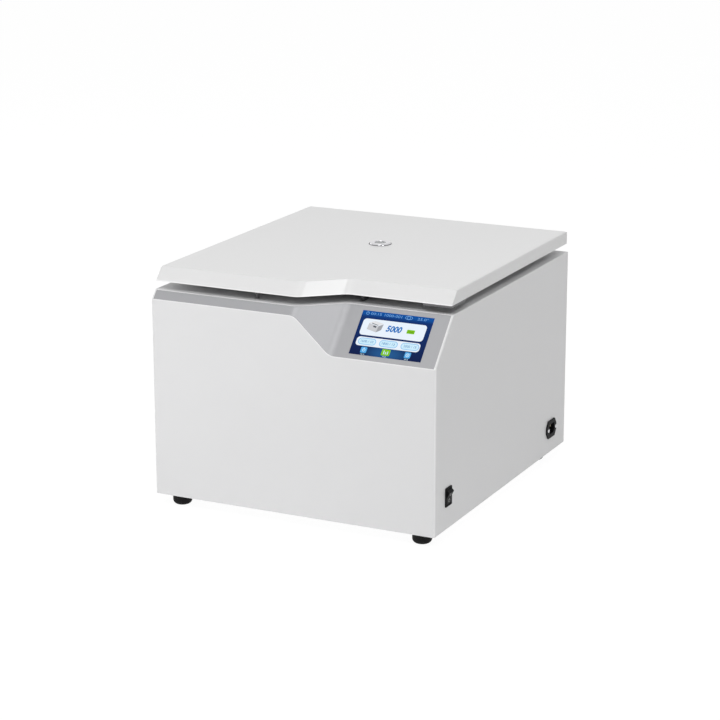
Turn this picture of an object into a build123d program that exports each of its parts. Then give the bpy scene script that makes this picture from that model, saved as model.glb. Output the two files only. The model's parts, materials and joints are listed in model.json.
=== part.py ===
from build123d import *
import math
import os

# Benchtop centrifuge: cabinet with a stepped sloping console, flat hinged lid, steel bowl and
# a four-place swing-out rotor. Millimetres, X to the right, Y to the back, Z up from the table.

# Overall sizes
cabinet_width = 425.0
cabinet_depth = 470.0
cabinet_height = 290.0
foot_height = 18.0
lid_gap = 12.0
lid_thickness = 18.0
lid_side_inset = 2.2

# Stepped front edge of the deck, measured back from the front panel
setback_left = 10.9
setback_right = 55.9
jog_start = 5.6
jog_end = 58.0
jog_radius = 20.0
console_angle = 47.2

# Sheets, edges and clearances
sheet = 2.0
console_depth = 4.0
window_rim = 4.0
overlay_rim = 1.0
overlay_side_rim = 3.0
overlay_depth = 1.2
fascia_recess = 0.5
front_bend = 3.0
edge_round = 2.0
return_flange = 14.0
pan_flange = 17.0
slip_fit = 0.15
running_fit = 0.05
press_fit = 0.02
rest_gap = 0.35

# Screen on the right-hand console
screen_margin = 24.6
screen_width = 103.6
screen_low = 8.6
screen_height = 66.0
screen_proud = 0.3
module_border = 3.0
module_depth = 7.0
board_gap = 8.0
board_thickness = 1.6

# Feet
foot_radius = 13.5
foot_inset_x = 28.5
foot_inset_front = 24.5
foot_inset_back = 45.0
foot_round = 6.5
foot_screw_radius = 2.0
foot_head_radius = 4.2
foot_head_height = 2.6
foot_recess_depth = 6.0
foot_recess_play = 0.8
foot_thread = 4.0

# Chamber
chamber_setback = 279.0
bowl_radius = 165.0
bowl_floor = 141.5
bowl_corner = 22.0
bowl_sheet = 1.5
bowl_flange = 13.0
bowl_hole = 32.0
gasket_inset = 0.6
gasket_width = 12.0
gasket_lip = 4.0
gasket_shoulder = 6.0
deck_clearance = 1.5
boot_foot = 6.0
boot_wall = 3.0
guard_gap = 5.5
guard_thickness = 5.0
guard_height = 112.0

# Motor and its mounting
damper_radius = 13.0
damper_neck = 2.5
damper_height = 28.0
damper_pitch = 160.0
mount_plate_margin = 7.0
mount_plate_thickness = 5.0
motor_radius = 45.0
motor_wall = 4.0
motor_height = 88.0
motor_flange = 11.0
motor_flange_thickness = 6.0
neck_radius = 22.0
neck_height = 32.0
shaft_radius = 8.0
spindle_radius = 6.0
bearing_radius = 16.0
bearing_height = 9.0
magnet_radius = 25.4
air_gap = 0.6
stack_height = 30.0
coil_overhang = 7.0
motor_screw_radius = 2.5
bearing_land = 2.0
bearing_wall = 5.0
shaft_play = 1.0

# Swing-out rotor
pivot_drop = 40.0
pivot_radius = 76.0
yoke_thickness = 22.0
slot_floor = 40.0
slot_clearance = 1.0
hub_radius = 17.0
hub_height = 42.0
lightening_radius = 13.0
yoke_rim = 24.0
pin_radius = 4.0
pin_grip = 9.0
nut_radius = 15.0
nut_height = 15.0
nut_cap = 3.0
nut_grips = 8

# Buckets and tube adapters
bucket_radius = 22.0
bucket_wall = 1.4
bucket_below = 80.0
bucket_above = 14.0
collar_wall = 3.5
collar_below = 9.0
collar_above = 8.0
adapter_wall = 5.25
adapter_floor = 5.0
adapter_rim = 3.0
bucket_corner = 8.0

# Lid
lid_wall = 3.0
lid_front_wall = 4.2
lid_overhang = 0.6
liner_thickness = 2.0
stiffener_thickness = 2.0
stiffener_inset = 45.0
boss_radius = 4.5
boss_inset = 6.0
boss_pitch = 100.0
boss_back_x = 85.0
boss_back_y = 10.0
lid_screw_radius = 1.6
lid_screw_head = 3.4
lid_screw_head_height = 1.8
port_radius = 15.4
port_rise = 2.2
port_bore = 8.0
port_sleeve_wall = 2.0
port_glass = 3.0
pad_thickness = 3.0
pad_front = 42.0
pad_side = 47.0
pad_leg = 10.0

# Hinges
hinge_x = 130.0
hinge_length = 50.0
hinge_middle = 19.0
hinge_leaf = 22.0
hinge_leaf_thickness = 2.0
hinge_pin_radius = 2.0
hinge_inset = 6.0
hinge_play = 0.3
leaf_screw_pitch = 18.0

# Lid lock and lid sensor
lock_setback = 29.6
lock_x = 70.0
striker_thickness = 3.0
striker_width = 16.0
striker_length = 33.0
striker_foot = 22.0
lock_travel = 8.0
lock_pin_radius = 3.0
lock_window = 8.4
lock_channel_width = 30.0
lock_channel_height = 24.0
lock_channel_length = 206.0
lock_sheet = 1.5
lock_reach = 1.0
bar_thickness = 3.0
bar_height = 16.0
bar_block = 6.0
striker_hole_x = 8.0
striker_hole_y = 25.0
solenoid_length = 40.0
solenoid_side = 17.0
plunger_radius = 4.0
sensor_x = -61.5
sensor_setback = 14.6
sensor_pin_radius = 2.5
sensor_travel = 3.0
sensor_side = 14.0
sensor_depth = 20.0

# Power switch and mains inlet on the right side
switch_setback = 43.7
switch_height = 44.9
switch_face_width = 20.0
switch_face_height = 26.5
switch_flange = 1.8
switch_body_width = 18.0
switch_body_height = 24.5
switch_body_depth = 20.0
switch_wall = 2.0
terminal_length = 8.0
rocker_radius = 11.2
rocker_width = 15.0
rocker_tilt = 12.0
rocker_depth = 3.5
trunnion_radius = 1.5
inlet_setback = 415.0
inlet_height = 35.8
inlet_flange_width = 37.0
inlet_flange_height = 26.5
inlet_ear_height = 8.0
inlet_flange_thickness = 2.0
inlet_body_width = 22.0
inlet_body_height = 18.5
inlet_body_depth = 27.0
socket_width = 19.5
socket_height = 15.0
socket_depth = 17.0
socket_bevel = 3.5
inlet_pin_width = 2.0
inlet_pin_height = 4.0
inlet_pin_inset = 4.0
inlet_screw_pitch = 28.0
inlet_screw_head = 2.6
inlet_pin_spread = 5.5
inlet_pin_lift = 2.8
inlet_pin_drop = 0.8

# Fan and vents in the rear panel
fan_x = -112.0
fan_height = 70.0
fan_side = 92.0
fan_depth = 25.0
fan_duct = 43.5
fan_screw_pitch = 82.5
fan_hub = 18.0
blade_count = 7
guard_rings = 5
guard_wire = 1.6
guard_depth = 2.0
fan_axle = 2.0
spider = 3.0
blade_chord = 20.0
blade_thickness = 1.6
blade_pitch = 38.0
vent_length = 96.0
vent_height = 4.5
vent_pitch = 11.0
vent_count = 8

# Electronics
supply_size = (88.0, 165.0, 48.0)
supply_sheet = 1.2
supply_clearance = 5.5
supply_shift = 40.0
supply_holes = (9, 17)
supply_hole_pitch = 8.0
supply_hole_radius = 2.0
drive_size = (84.0, 130.0)
drive_clearance = 8.0
drive_shift = 10.0
drive_row = 22.0
capacitor_radius = 12.5
capacitor_places = (-38.0, -8.0)
choke_place = 30.0
choke_size = (26.0, 34.0)
tall_parts = 30.0
post_height = 8.0
post_radius = 3.0
post_inset = 5.0
sink_size = (38.0, 116.0)
sink_base = 4.0
sink_fin = 1.6
sink_fin_count = 9
pan_slot = (60.0, 5.0)
pan_slot_pitch = 12.0
pan_slot_count = 7

half_width = cabinet_width / 2
lid_width = cabinet_width - 2 * lid_side_inset
screen_left = half_width - screen_margin - screen_width
gasket_inner = bowl_radius + gasket_inset
mount_plate_side = damper_pitch + 2 * (damper_radius + mount_plate_margin)
yoke_radius = pivot_radius + yoke_rim
collar_radius = bucket_radius + collar_wall
slot_half = collar_radius + slot_clearance
adapter_bore = bucket_radius - bucket_wall - slip_fit - adapter_wall
front_y = -cabinet_depth / 2
back_y = cabinet_depth / 2
base_z = foot_height
pan_z = base_z + sheet
deck_z = base_z + cabinet_height
deck_under = deck_z - sheet
lid_z = deck_z + lid_gap
lid_top = lid_z + lid_thickness
inner_width = cabinet_width - 2 * sheet
inner_depth = cabinet_depth - 2 * sheet
slope = math.radians(console_angle)
downhill = (0, -math.cos(slope), -math.sin(slope))
uphill = (0, math.cos(slope), math.sin(slope))
slope_length = setback_right / math.cos(slope)
console_foot_z = deck_z - setback_right * math.tan(slope)
console_normal = (0, -math.sin(slope), math.cos(slope))
console_face = Plane(origin=(0, front_y, console_foot_z), x_dir=(1, 0, 0), z_dir=console_normal)
screen_middle = (screen_left + screen_width / 2, screen_low + screen_height / 2)
fascia_back = -console_depth * math.sin(slope)
chamber_y = front_y + chamber_setback
chamber_axis = Axis((0, chamber_y, 0), (0, 0, 1))
chamber_section = Plane.XZ.offset(-chamber_y)


def ahead_of_step(level, shift):
    """Flat region at one level, ahead of the stepped front edge moved back by shift."""
    reach = cabinet_width
    left = front_y + setback_left + shift
    right = front_y + setback_right + shift
    with BuildSketch(Plane.XY.offset(level)) as region:
        with BuildLine():
            edge = FilletPolyline(
                (-reach, left), (jog_start, left), (jog_end, right), (reach, right), radius=jog_radius
            )
            Polyline(edge @ 1, (reach, front_y - reach), (-reach, front_y - reach), edge @ 0)
        make_face()
    return region.sketch


def console_slice(near, far, rim, side_rim):
    """Slice of the sloping console between two depths, rims inside the cabinet's edges."""
    run = 2 * slope_length
    with BuildPart() as piece:
        extrude(ahead_of_step(deck_z, far), amount=run, dir=downhill)
        extrude(ahead_of_step(deck_z, near), amount=run, dir=downhill, mode=Mode.SUBTRACT)
        with BuildSketch(Plane.XY.offset(deck_z - rim * math.sin(slope))):
            with Locations((0, rim * math.cos(slope))):
                Rectangle(cabinet_width - 2 * side_rim, cabinet_depth)
        extrude(amount=-cabinet_height, mode=Mode.INTERSECT)
    return piece.part


def console_edges(body):
    """Edges where the sloping console meets the deck, the front panel and the sides."""
    chosen = []
    for edge in body.edges():
        box = edge.bounding_box()
        on_deck = box.min.Z > deck_z - 0.01 and box.max.Y < front_y + setback_right + 0.01
        on_front = box.max.Y < front_y + 0.01 and box.min.Z > base_z + 0.01
        sloping = min(box.size.Y, box.size.Z) > 1
        on_side = abs(edge.center().X) > half_width - front_bend and sloping
        if on_deck or on_front or on_side:
            chosen.append(edge)
    return chosen


# Cabinet sheets
with BuildPart() as cabinet_space:
    with BuildSketch(Plane.XY.offset(base_z)):
        with Locations((0, sheet)):
            Rectangle(inner_width, cabinet_depth)
    extrude(amount=cabinet_height)
    extrude(
        ahead_of_step(deck_z, console_depth), amount=2 * slope_length, dir=downhill, mode=Mode.SUBTRACT
    )

switch_y = front_y + switch_setback
switch_z = base_z + switch_height
inlet_y = front_y + inlet_setback
inlet_z = base_z + inlet_height
side_face = Plane(origin=(half_width, 0, 0), x_dir=(0, 1, 0), z_dir=(1, 0, 0))
inlet_face = Plane(origin=(half_width, inlet_y, inlet_z), x_dir=(0, 1, 0), z_dir=(1, 0, 0))
inlet_ears = [(inlet_y + end * inlet_screw_pitch / 2, inlet_z) for end in (-1, 1)]

with BuildPart() as cabinet_shell:
    with BuildSketch(Plane.XY.offset(base_z)):
        Rectangle(cabinet_width, cabinet_depth)
    extrude(amount=cabinet_height)
    fillet(cabinet_shell.edges().filter_by(Axis.Z).group_by(Axis.Y)[0], front_bend)
    extrude(ahead_of_step(deck_z, 0), amount=2 * slope_length, dir=downhill, mode=Mode.SUBTRACT)
    fillet(console_edges(cabinet_shell), edge_round)
    add(cabinet_space.part, mode=Mode.SUBTRACT)
    add(console_slice(-console_depth, 2 * console_depth, window_rim, window_rim), mode=Mode.SUBTRACT)
    add(console_slice(-console_depth, overlay_depth, overlay_rim, overlay_side_rim), mode=Mode.SUBTRACT)
    with BuildSketch(Plane.XY.offset(pan_z)):
        with Locations((0, back_y - 1.5 * sheet)):
            with GridLocations(inner_width - return_flange, 0, 2, 1):
                Rectangle(return_flange, sheet)
    extrude(amount=deck_under - pan_z)
    with BuildSketch(side_face):
        with Locations((switch_y, switch_z)):
            Rectangle(switch_body_width + 2 * slip_fit, switch_body_height + 2 * slip_fit)
        with Locations((inlet_y, inlet_z)):
            Rectangle(inlet_body_width + 2 * slip_fit, inlet_body_height + 2 * slip_fit)
        with Locations(*inlet_ears):
            Circle(lid_screw_radius + slip_fit)
    extrude(amount=-sheet, mode=Mode.SUBTRACT)
cabinet_shell.part.label = "cabinet_shell"

with BuildPart() as console_fascia:
    add(console_slice(fascia_recess, overlay_depth, overlay_rim + slip_fit, overlay_side_rim + slip_fit))
    add(console_slice(overlay_depth, console_depth, window_rim + slip_fit, window_rim + slip_fit))
    with BuildSketch(console_face):
        with Locations(screen_middle):
            Rectangle(screen_width + 2 * slip_fit, screen_height + 2 * slip_fit)
    extrude(amount=console_depth, both=True, mode=Mode.SUBTRACT)
console_fascia.part.label = "console_fascia"

# Screen in the fascia, with its display module behind
with BuildPart() as screen_glass:
    with BuildSketch(console_face.offset(fascia_back)):
        with Locations(screen_middle):
            Rectangle(screen_width, screen_height)
    extrude(amount=-fascia_back - fascia_recess * math.sin(slope) + screen_proud)
    outer_face = screen_glass.faces().sort_by(Axis((0, 0, 0), console_normal))[-1]
    chamfer(outer_face.edges(), screen_proud / 2)
screen_glass.part.label = "screen_glass"

with BuildPart() as display_module:
    with BuildSketch(console_face.offset(fascia_back)):
        with Locations(screen_middle):
            Rectangle(screen_width + 2 * module_border, screen_height + 2 * module_border)
    extrude(amount=-module_depth)
    module_back = fascia_back - module_depth
    with BuildSketch(console_face.offset(module_back)):
        with Locations(screen_middle):
            with GridLocations(screen_width - 2 * post_radius, screen_height - 2 * post_radius, 2, 2):
                Circle(post_radius)
    extrude(amount=-board_gap)
    with BuildSketch(console_face.offset(module_back - board_gap)):
        with Locations(screen_middle):
            Rectangle(screen_width, screen_height)
    extrude(amount=-board_thickness)
    with BuildSketch(console_face.offset(module_back - board_gap)):
        with Locations(screen_middle):
            Rectangle(screen_height / 4, screen_height / 4)
            with Locations((0, screen_height / 3)):
                Rectangle(screen_width / 2, screen_height / 9)
    extrude(amount=board_gap / 3)
display_module.part.label = "display_module"

# Base pan with flanges up the sides, posts for the drive board and slots under the drive
foot_places = [
    (side * (half_width - foot_inset_x), y)
    for side in (-1, 1)
    for y in (front_y + foot_inset_front, back_y - foot_inset_back)
]
drive_x = half_width - sheet - drive_clearance - drive_size[0] / 2
drive_y = chamber_y - drive_shift
post_x = drive_size[0] / 2 - post_inset
post_y = drive_size[1] / 2 - post_inset
drive_posts = [
    (drive_x + sx * post_x, drive_y + sy * post_y)
    for sx in (-1, 1)
    for sy in (-1, 1)
]
with BuildPart() as base_pan:
    with BuildSketch(Plane.XY.offset(base_z)):
        Rectangle(inner_width, inner_depth)
    extrude(amount=sheet)
    with BuildSketch(Plane.XY.offset(pan_z)):
        with Locations((0, -sheet)):
            with GridLocations(inner_width - sheet, 0, 2, 1):
                Rectangle(sheet, inner_depth - 2 * sheet)
    extrude(amount=pan_flange)
    with BuildSketch(Plane.XY.offset(pan_z)):
        with Locations(*drive_posts):
            Circle(post_radius)
    extrude(amount=post_height)
    with BuildSketch(Plane.XY.offset(base_z)):
        with Locations(*foot_places):
            Circle(foot_screw_radius + slip_fit)
        with Locations((0, chamber_y)):
            with GridLocations(pan_slot_pitch, 0, pan_slot_count, 1):
                SlotOverall(*pan_slot, rotation=90)
    extrude(amount=sheet, mode=Mode.SUBTRACT)
base_pan.part.label = "base_pan"

with BuildPart() as rear_panel:
    rear_face = Plane(origin=(0, back_y, 0), x_dir=(-1, 0, 0), z_dir=(0, 1, 0))
    fan_z = base_z + fan_height
    panel_width = inner_width - 2 * slip_fit
    panel_height = cabinet_height - sheet
    screw_column = half_width - sheet - return_flange / 2
    rear_screw_places = [
        (side * screw_column, base_z + panel_height * part)
        for side in (-1, 1)
        for part in (0.08, 0.36, 0.64, 0.92)
    ]
    fan_screw_places = [
        (-fan_x + sx * fan_screw_pitch / 2, fan_z + sz * fan_screw_pitch / 2)
        for sx in (-1, 1)
        for sz in (-1, 1)
    ]
    with BuildSketch(rear_face):
        with Locations((0, base_z + panel_height / 2)):
            Rectangle(panel_width, panel_height)
        with Locations((-fan_x, fan_z)):
            Circle(fan_duct, mode=Mode.SUBTRACT)
        with Locations(*rear_screw_places, *fan_screw_places):
            Circle(lid_screw_radius + slip_fit, mode=Mode.SUBTRACT)
        with Locations((fan_x, fan_z)):
            with GridLocations(0, vent_pitch, 1, vent_count):
                SlotOverall(vent_length, vent_height, mode=Mode.SUBTRACT)
    extrude(amount=-sheet)
rear_panel.part.label = "rear_panel"

# Deck with its openings for the bowl, the two strikers and the lid sensor
lock_y = front_y + setback_right + lock_setback
sensor_y = front_y + setback_left + sensor_setback
deck_hole = bowl_radius + bowl_sheet + deck_clearance
with BuildPart() as top_deck:
    with BuildSketch(Plane.XY.offset(deck_z)):
        with Locations((0, sheet)):
            Rectangle(inner_width, cabinet_depth - 2 * sheet)
    extrude(amount=-sheet)
    extrude(
        ahead_of_step(deck_z, console_depth + slip_fit),
        amount=2 * slope_length,
        dir=downhill,
        mode=Mode.SUBTRACT,
    )
    with BuildSketch(Plane.XY.offset(deck_z)):
        with Locations((0, chamber_y)):
            Circle(deck_hole)
        with Locations((-lock_x, lock_y), (lock_x, lock_y)):
            Rectangle(striker_hole_x, striker_hole_y)
        with Locations((sensor_x, sensor_y)):
            Circle(sensor_pin_radius + slip_fit)
    extrude(amount=-sheet, mode=Mode.SUBTRACT)
    with BuildSketch(Plane.XY.offset(deck_z - sheet)):
        with Locations((0, back_y - sheet / 2)):
            Rectangle(inner_width, sheet)
    extrude(amount=sheet)
top_deck.part.label = "top_deck"

# Bowl hung from the deck by its flange, its seal and the guard ring round it
floor_z = base_z + bowl_floor
with BuildPart() as chamber_bowl:
    corner_middle = (bowl_radius - bowl_corner, floor_z + bowl_corner)
    rim_radius = bowl_radius + bowl_flange
    with BuildSketch(chamber_section):
        with BuildLine():
            inner_floor = Line((bowl_hole, floor_z), (bowl_radius - bowl_corner, floor_z))
            inner_corner = CenterArc(corner_middle, bowl_corner, -90, 90)
            inner_wall = Line(inner_corner @ 1, (bowl_radius, deck_under))
            outer_wall = Line(
                (bowl_radius + bowl_sheet, deck_under - bowl_sheet),
                (bowl_radius + bowl_sheet, floor_z + bowl_corner),
            )
            outer_corner = CenterArc(corner_middle, bowl_corner + bowl_sheet, -90, 90)
            Polyline(
                inner_wall @ 1,
                (rim_radius, deck_under),
                (rim_radius, deck_under - bowl_sheet),
                outer_wall @ 0,
            )
            Polyline(outer_corner @ 0, (bowl_hole, floor_z - bowl_sheet), inner_floor @ 0)
        make_face()
    revolve(axis=chamber_axis)
chamber_bowl.part.label = "chamber_bowl"

with BuildPart() as chamber_gasket:
    gasket_top = lid_z - rest_gap
    gasket_outer = gasket_inner + gasket_width
    with BuildSketch(chamber_section):
        with BuildLine():
            Polyline(
                (gasket_inner, gasket_top - gasket_lip),
                (gasket_inner, deck_under),
                (deck_hole - slip_fit, deck_under),
                (deck_hole - slip_fit, deck_z),
                (gasket_outer, deck_z),
                (gasket_outer, gasket_top - gasket_shoulder),
            )
            TangentArc(
                (gasket_outer, gasket_top - gasket_shoulder),
                (gasket_outer - gasket_shoulder, gasket_top),
                tangent=(0, 1),
            )
            Line((gasket_outer - gasket_shoulder, gasket_top), (gasket_inner + gasket_lip, gasket_top))
            TangentArc(
                (gasket_inner + gasket_lip, gasket_top),
                (gasket_inner, gasket_top - gasket_lip),
                tangent=(-1, 0),
            )
        make_face()
    revolve(axis=chamber_axis)
chamber_gasket.part.label = "chamber_gasket"

with BuildPart() as guard_ring:
    guard_inner = bowl_radius + bowl_sheet + guard_gap
    with BuildSketch(Plane.XY.offset(deck_under - bowl_sheet)):
        with Locations((0, chamber_y)):
            Circle(guard_inner + guard_thickness)
            Circle(guard_inner, mode=Mode.SUBTRACT)
    extrude(amount=-guard_height)
guard_ring.part.label = "guard_ring"

# Motor on a plate carried by four rubber dampers
plate_z = pan_z + damper_height
plate_top = plate_z + mount_plate_thickness
motor_top = plate_top + motor_height
neck_top = motor_top + neck_height
stack_low = plate_top + (motor_height - stack_height) / 2
bearing_low = plate_top + bearing_land
bearing_high = neck_top - bearing_height - bearing_wall
motor_screw_pitch = motor_radius + motor_flange / 2

with BuildPart() as vibration_mounts:
    for sx in (-1, 1):
        for sy in (-1, 1):
            spot = (sx * damper_pitch / 2, chamber_y + sy * damper_pitch / 2)
            with BuildSketch(Plane.XZ.offset(-spot[1])):
                with BuildLine():
                    outline = Polyline(
                        (spot[0] + damper_radius, plate_z),
                        (spot[0], plate_z),
                        (spot[0], pan_z),
                        (spot[0] + damper_radius, pan_z),
                    )
                    ThreePointArc(
                        outline @ 1, (spot[0] + damper_radius - damper_neck, (pan_z + plate_z) / 2), outline @ 0
                    )
                make_face()
            revolve(axis=Axis((*spot, 0), (0, 0, 1)))
vibration_mounts.part.label = "vibration_mounts"

with BuildPart() as motor_mount_plate:
    with BuildSketch(Plane.XY.offset(plate_z)):
        with Locations((0, chamber_y)):
            RectangleRounded(mount_plate_side, mount_plate_side, damper_radius)
    extrude(amount=mount_plate_thickness)
    with BuildSketch(Plane.XY.offset(plate_top)):
        with Locations((0, chamber_y)):
            Circle(bearing_radius + bearing_wall)
    extrude(amount=bearing_height + bearing_land)
    with BuildSketch(Plane.XY.offset(bearing_low)):
        with Locations((0, chamber_y)):
            Circle(bearing_radius + press_fit)
    extrude(amount=bearing_height, mode=Mode.SUBTRACT)
    with BuildSketch(Plane.XY.offset(plate_z)):
        with Locations((0, chamber_y)):
            Circle(shaft_radius + shaft_play)
            with PolarLocations(motor_screw_pitch, 4, 45):
                Circle(motor_screw_radius + press_fit)
    extrude(amount=mount_plate_thickness + bearing_land, mode=Mode.SUBTRACT)
motor_mount_plate.part.label = "motor_mount_plate"

with BuildPart() as motor_housing:
    with BuildSketch(Plane.XY.offset(plate_top)):
        with Locations((0, chamber_y)):
            Circle(motor_radius + motor_flange)
    extrude(amount=motor_flange_thickness)
    with BuildSketch(Plane.XY.offset(plate_top)):
        with Locations((0, chamber_y)):
            Circle(motor_radius)
    extrude(amount=motor_height)
    fillet(motor_housing.edges().group_by(Axis.Z)[-1], 4)
    with BuildSketch(Plane.XY.offset(motor_top)):
        with Locations((0, chamber_y)):
            Circle(neck_radius)
    extrude(amount=neck_height)
    with BuildSketch(Plane.XY.offset(plate_top)):
        with Locations((0, chamber_y)):
            Circle(motor_radius - motor_wall)
    extrude(amount=motor_height - motor_wall, mode=Mode.SUBTRACT)
    with BuildSketch(Plane.XY.offset(plate_top)):
        with Locations((0, chamber_y)):
            Circle(shaft_radius + 2 * shaft_play)
    extrude(amount=motor_height + neck_height, mode=Mode.SUBTRACT)
    with BuildSketch(Plane.XY.offset(bearing_high)):
        with Locations((0, chamber_y)):
            Circle(bearing_radius + press_fit)
    extrude(amount=neck_top - bearing_high, mode=Mode.SUBTRACT)
    with BuildSketch(Plane.XY.offset(plate_top)):
        with Locations((0, chamber_y)):
            with PolarLocations(motor_screw_pitch, 4, 45):
                Circle(motor_screw_radius + press_fit)
    extrude(amount=motor_flange_thickness, mode=Mode.SUBTRACT)
motor_housing.part.label = "motor_housing"

with BuildPart() as motor_screws:
    flange_top = plate_top + motor_flange_thickness
    with BuildSketch(Plane.XY.offset(plate_z)):
        with Locations((0, chamber_y)):
            with PolarLocations(motor_screw_pitch, 4, 45):
                Circle(motor_screw_radius)
    extrude(amount=flange_top - plate_z)
    with BuildSketch(Plane.XY.offset(flange_top)):
        with Locations((0, chamber_y)):
            with PolarLocations(motor_screw_pitch, 4, 45):
                RegularPolygon(1.7 * motor_screw_radius, 6)
    extrude(amount=1.4 * motor_screw_radius)
motor_screws.part.label = "motor_screws"

with BuildPart() as motor_bearings:
    for low in (bearing_low, bearing_high):
        with BuildSketch(Plane.XY.offset(low)):
            with Locations((0, chamber_y)):
                Circle(bearing_radius)
                Circle(shaft_radius + running_fit, mode=Mode.SUBTRACT)
        extrude(amount=bearing_height)
motor_bearings.part.label = "motor_bearings"

with BuildPart() as motor_stator:
    stator_inner = magnet_radius + air_gap
    stator_outer = motor_radius - motor_wall - press_fit
    coil_inner = stator_inner + 3
    coil_outer = stator_outer - 4
    stack_top = stack_low + stack_height
    with BuildSketch(chamber_section):
        with BuildLine():
            Polyline(
                (stator_inner, stack_low),
                (coil_inner, stack_low),
                (coil_inner, stack_low - coil_overhang),
                (coil_outer, stack_low - coil_overhang),
                (coil_outer, stack_low),
                (stator_outer, stack_low),
                (stator_outer, stack_top),
                (coil_outer, stack_top),
                (coil_outer, stack_top + coil_overhang),
                (coil_inner, stack_top + coil_overhang),
                (coil_inner, stack_top),
                (stator_inner, stack_top),
                close=True,
            )
        make_face()
    revolve(axis=chamber_axis)
motor_stator.part.label = "motor_stator"

with BuildPart() as bowl_boot:
    boot_inner = neck_radius + 2 * slip_fit
    with BuildSketch(chamber_section):
        with BuildLine():
            Polyline(
                (boot_inner, floor_z),
                (bowl_hole + boot_foot, floor_z),
                (bowl_hole + boot_foot, floor_z + boot_wall),
                (boot_inner + 2 * boot_wall, floor_z + 2 * boot_wall),
                (boot_inner + boot_wall, neck_top - boot_wall),
                (boot_inner, neck_top - boot_wall),
                close=True,
            )
        make_face()
    revolve(axis=chamber_axis)
bowl_boot.part.label = "bowl_boot"

# Rotor: shaft with its magnet, yoke, trunnion pins and clamping nut
pivot_z = deck_z - pivot_drop
yoke_low = pivot_z - yoke_thickness / 2
hub_low = pivot_z - hub_height / 2
hub_top = hub_low + hub_height
with BuildPart() as motor_shaft:
    with BuildSketch(Plane.XY.offset(plate_z + 1)):
        with Locations((0, chamber_y)):
            Circle(shaft_radius)
    extrude(amount=hub_low - plate_z - 1)
    with BuildSketch(Plane.XY.offset(hub_low)):
        with Locations((0, chamber_y)):
            Circle(spindle_radius)
    extrude(amount=hub_height + nut_height - nut_cap)
    chamfer(motor_shaft.edges().group_by(Axis.Z)[-1], 1)
motor_shaft.part.label = "motor_shaft"

with BuildPart() as motor_magnet:
    with BuildSketch(Plane.XY.offset(stack_low)):
        with Locations((0, chamber_y)):
            Circle(magnet_radius)
            Circle(shaft_radius + press_fit, mode=Mode.SUBTRACT)
    extrude(amount=stack_height)
motor_magnet.part.label = "motor_magnet"

with BuildPart() as rotor_yoke:
    with BuildSketch(Plane.XY.offset(yoke_low)):
        with Locations((0, chamber_y)):
            Circle(yoke_radius)
            with PolarLocations(slot_floor + yoke_radius / 2, 4):
                Rectangle(yoke_radius, 2 * slot_half, mode=Mode.SUBTRACT)
            with PolarLocations(pivot_radius, 4, 45):
                Circle(lightening_radius, mode=Mode.SUBTRACT)
    extrude(amount=yoke_thickness)
    fillet(rotor_yoke.edges().filter_by(Axis.Z), 3)
    chamfer(rotor_yoke.edges().group_by(Axis.Z)[-1], 1)
    with BuildSketch(Plane.XY.offset(hub_low)):
        with Locations((0, chamber_y)):
            Circle(hub_radius)
    extrude(amount=hub_height)
    with BuildSketch(Plane.XY.offset(hub_low)):
        with Locations((0, chamber_y)):
            Circle(spindle_radius + press_fit)
    extrude(amount=hub_height, mode=Mode.SUBTRACT)
    for quarter in range(4):
        along = (math.cos(quarter * math.pi / 2), math.sin(quarter * math.pi / 2))
        pin_line = Plane(
            origin=(pivot_radius * along[0], chamber_y + pivot_radius * along[1], pivot_z),
            x_dir=(0, 0, 1),
            z_dir=(-along[1], along[0], 0),
        )
        with BuildSketch(pin_line):
            Circle(pin_radius + press_fit)
        extrude(amount=slot_half + pin_grip, both=True, mode=Mode.SUBTRACT)
rotor_yoke.part.label = "rotor_yoke"

with BuildPart() as trunnion_pins:
    pin_tip = bucket_radius + rest_gap
    for quarter in range(4):
        along = (math.cos(quarter * math.pi / 2), math.sin(quarter * math.pi / 2))
        for side in (-1, 1):
            tip_plane = Plane(
                origin=(
                    pivot_radius * along[0] - side * pin_tip * along[1],
                    chamber_y + pivot_radius * along[1] + side * pin_tip * along[0],
                    pivot_z,
                ),
                x_dir=(0, 0, 1),
                z_dir=(-side * along[1], side * along[0], 0),
            )
            with BuildSketch(tip_plane):
                Circle(pin_radius)
            extrude(amount=slot_half + pin_grip - pin_tip)
trunnion_pins.part.label = "trunnion_pins"

with BuildPart() as rotor_nut:
    with BuildSketch(Plane.XY.offset(hub_top)):
        with Locations((0, chamber_y)):
            Circle(nut_radius)
            with PolarLocations(nut_radius + 1, nut_grips):
                Circle(nut_cap, mode=Mode.SUBTRACT)
    extrude(amount=nut_height)
    fillet(rotor_nut.edges().group_by(Axis.Z)[-1], 1.5)
    with BuildSketch(Plane.XY.offset(hub_top)):
        with Locations((0, chamber_y)):
            Circle(spindle_radius + press_fit)
    extrude(amount=nut_height - nut_cap, mode=Mode.SUBTRACT)
rotor_nut.part.label = "rotor_nut"


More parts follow.
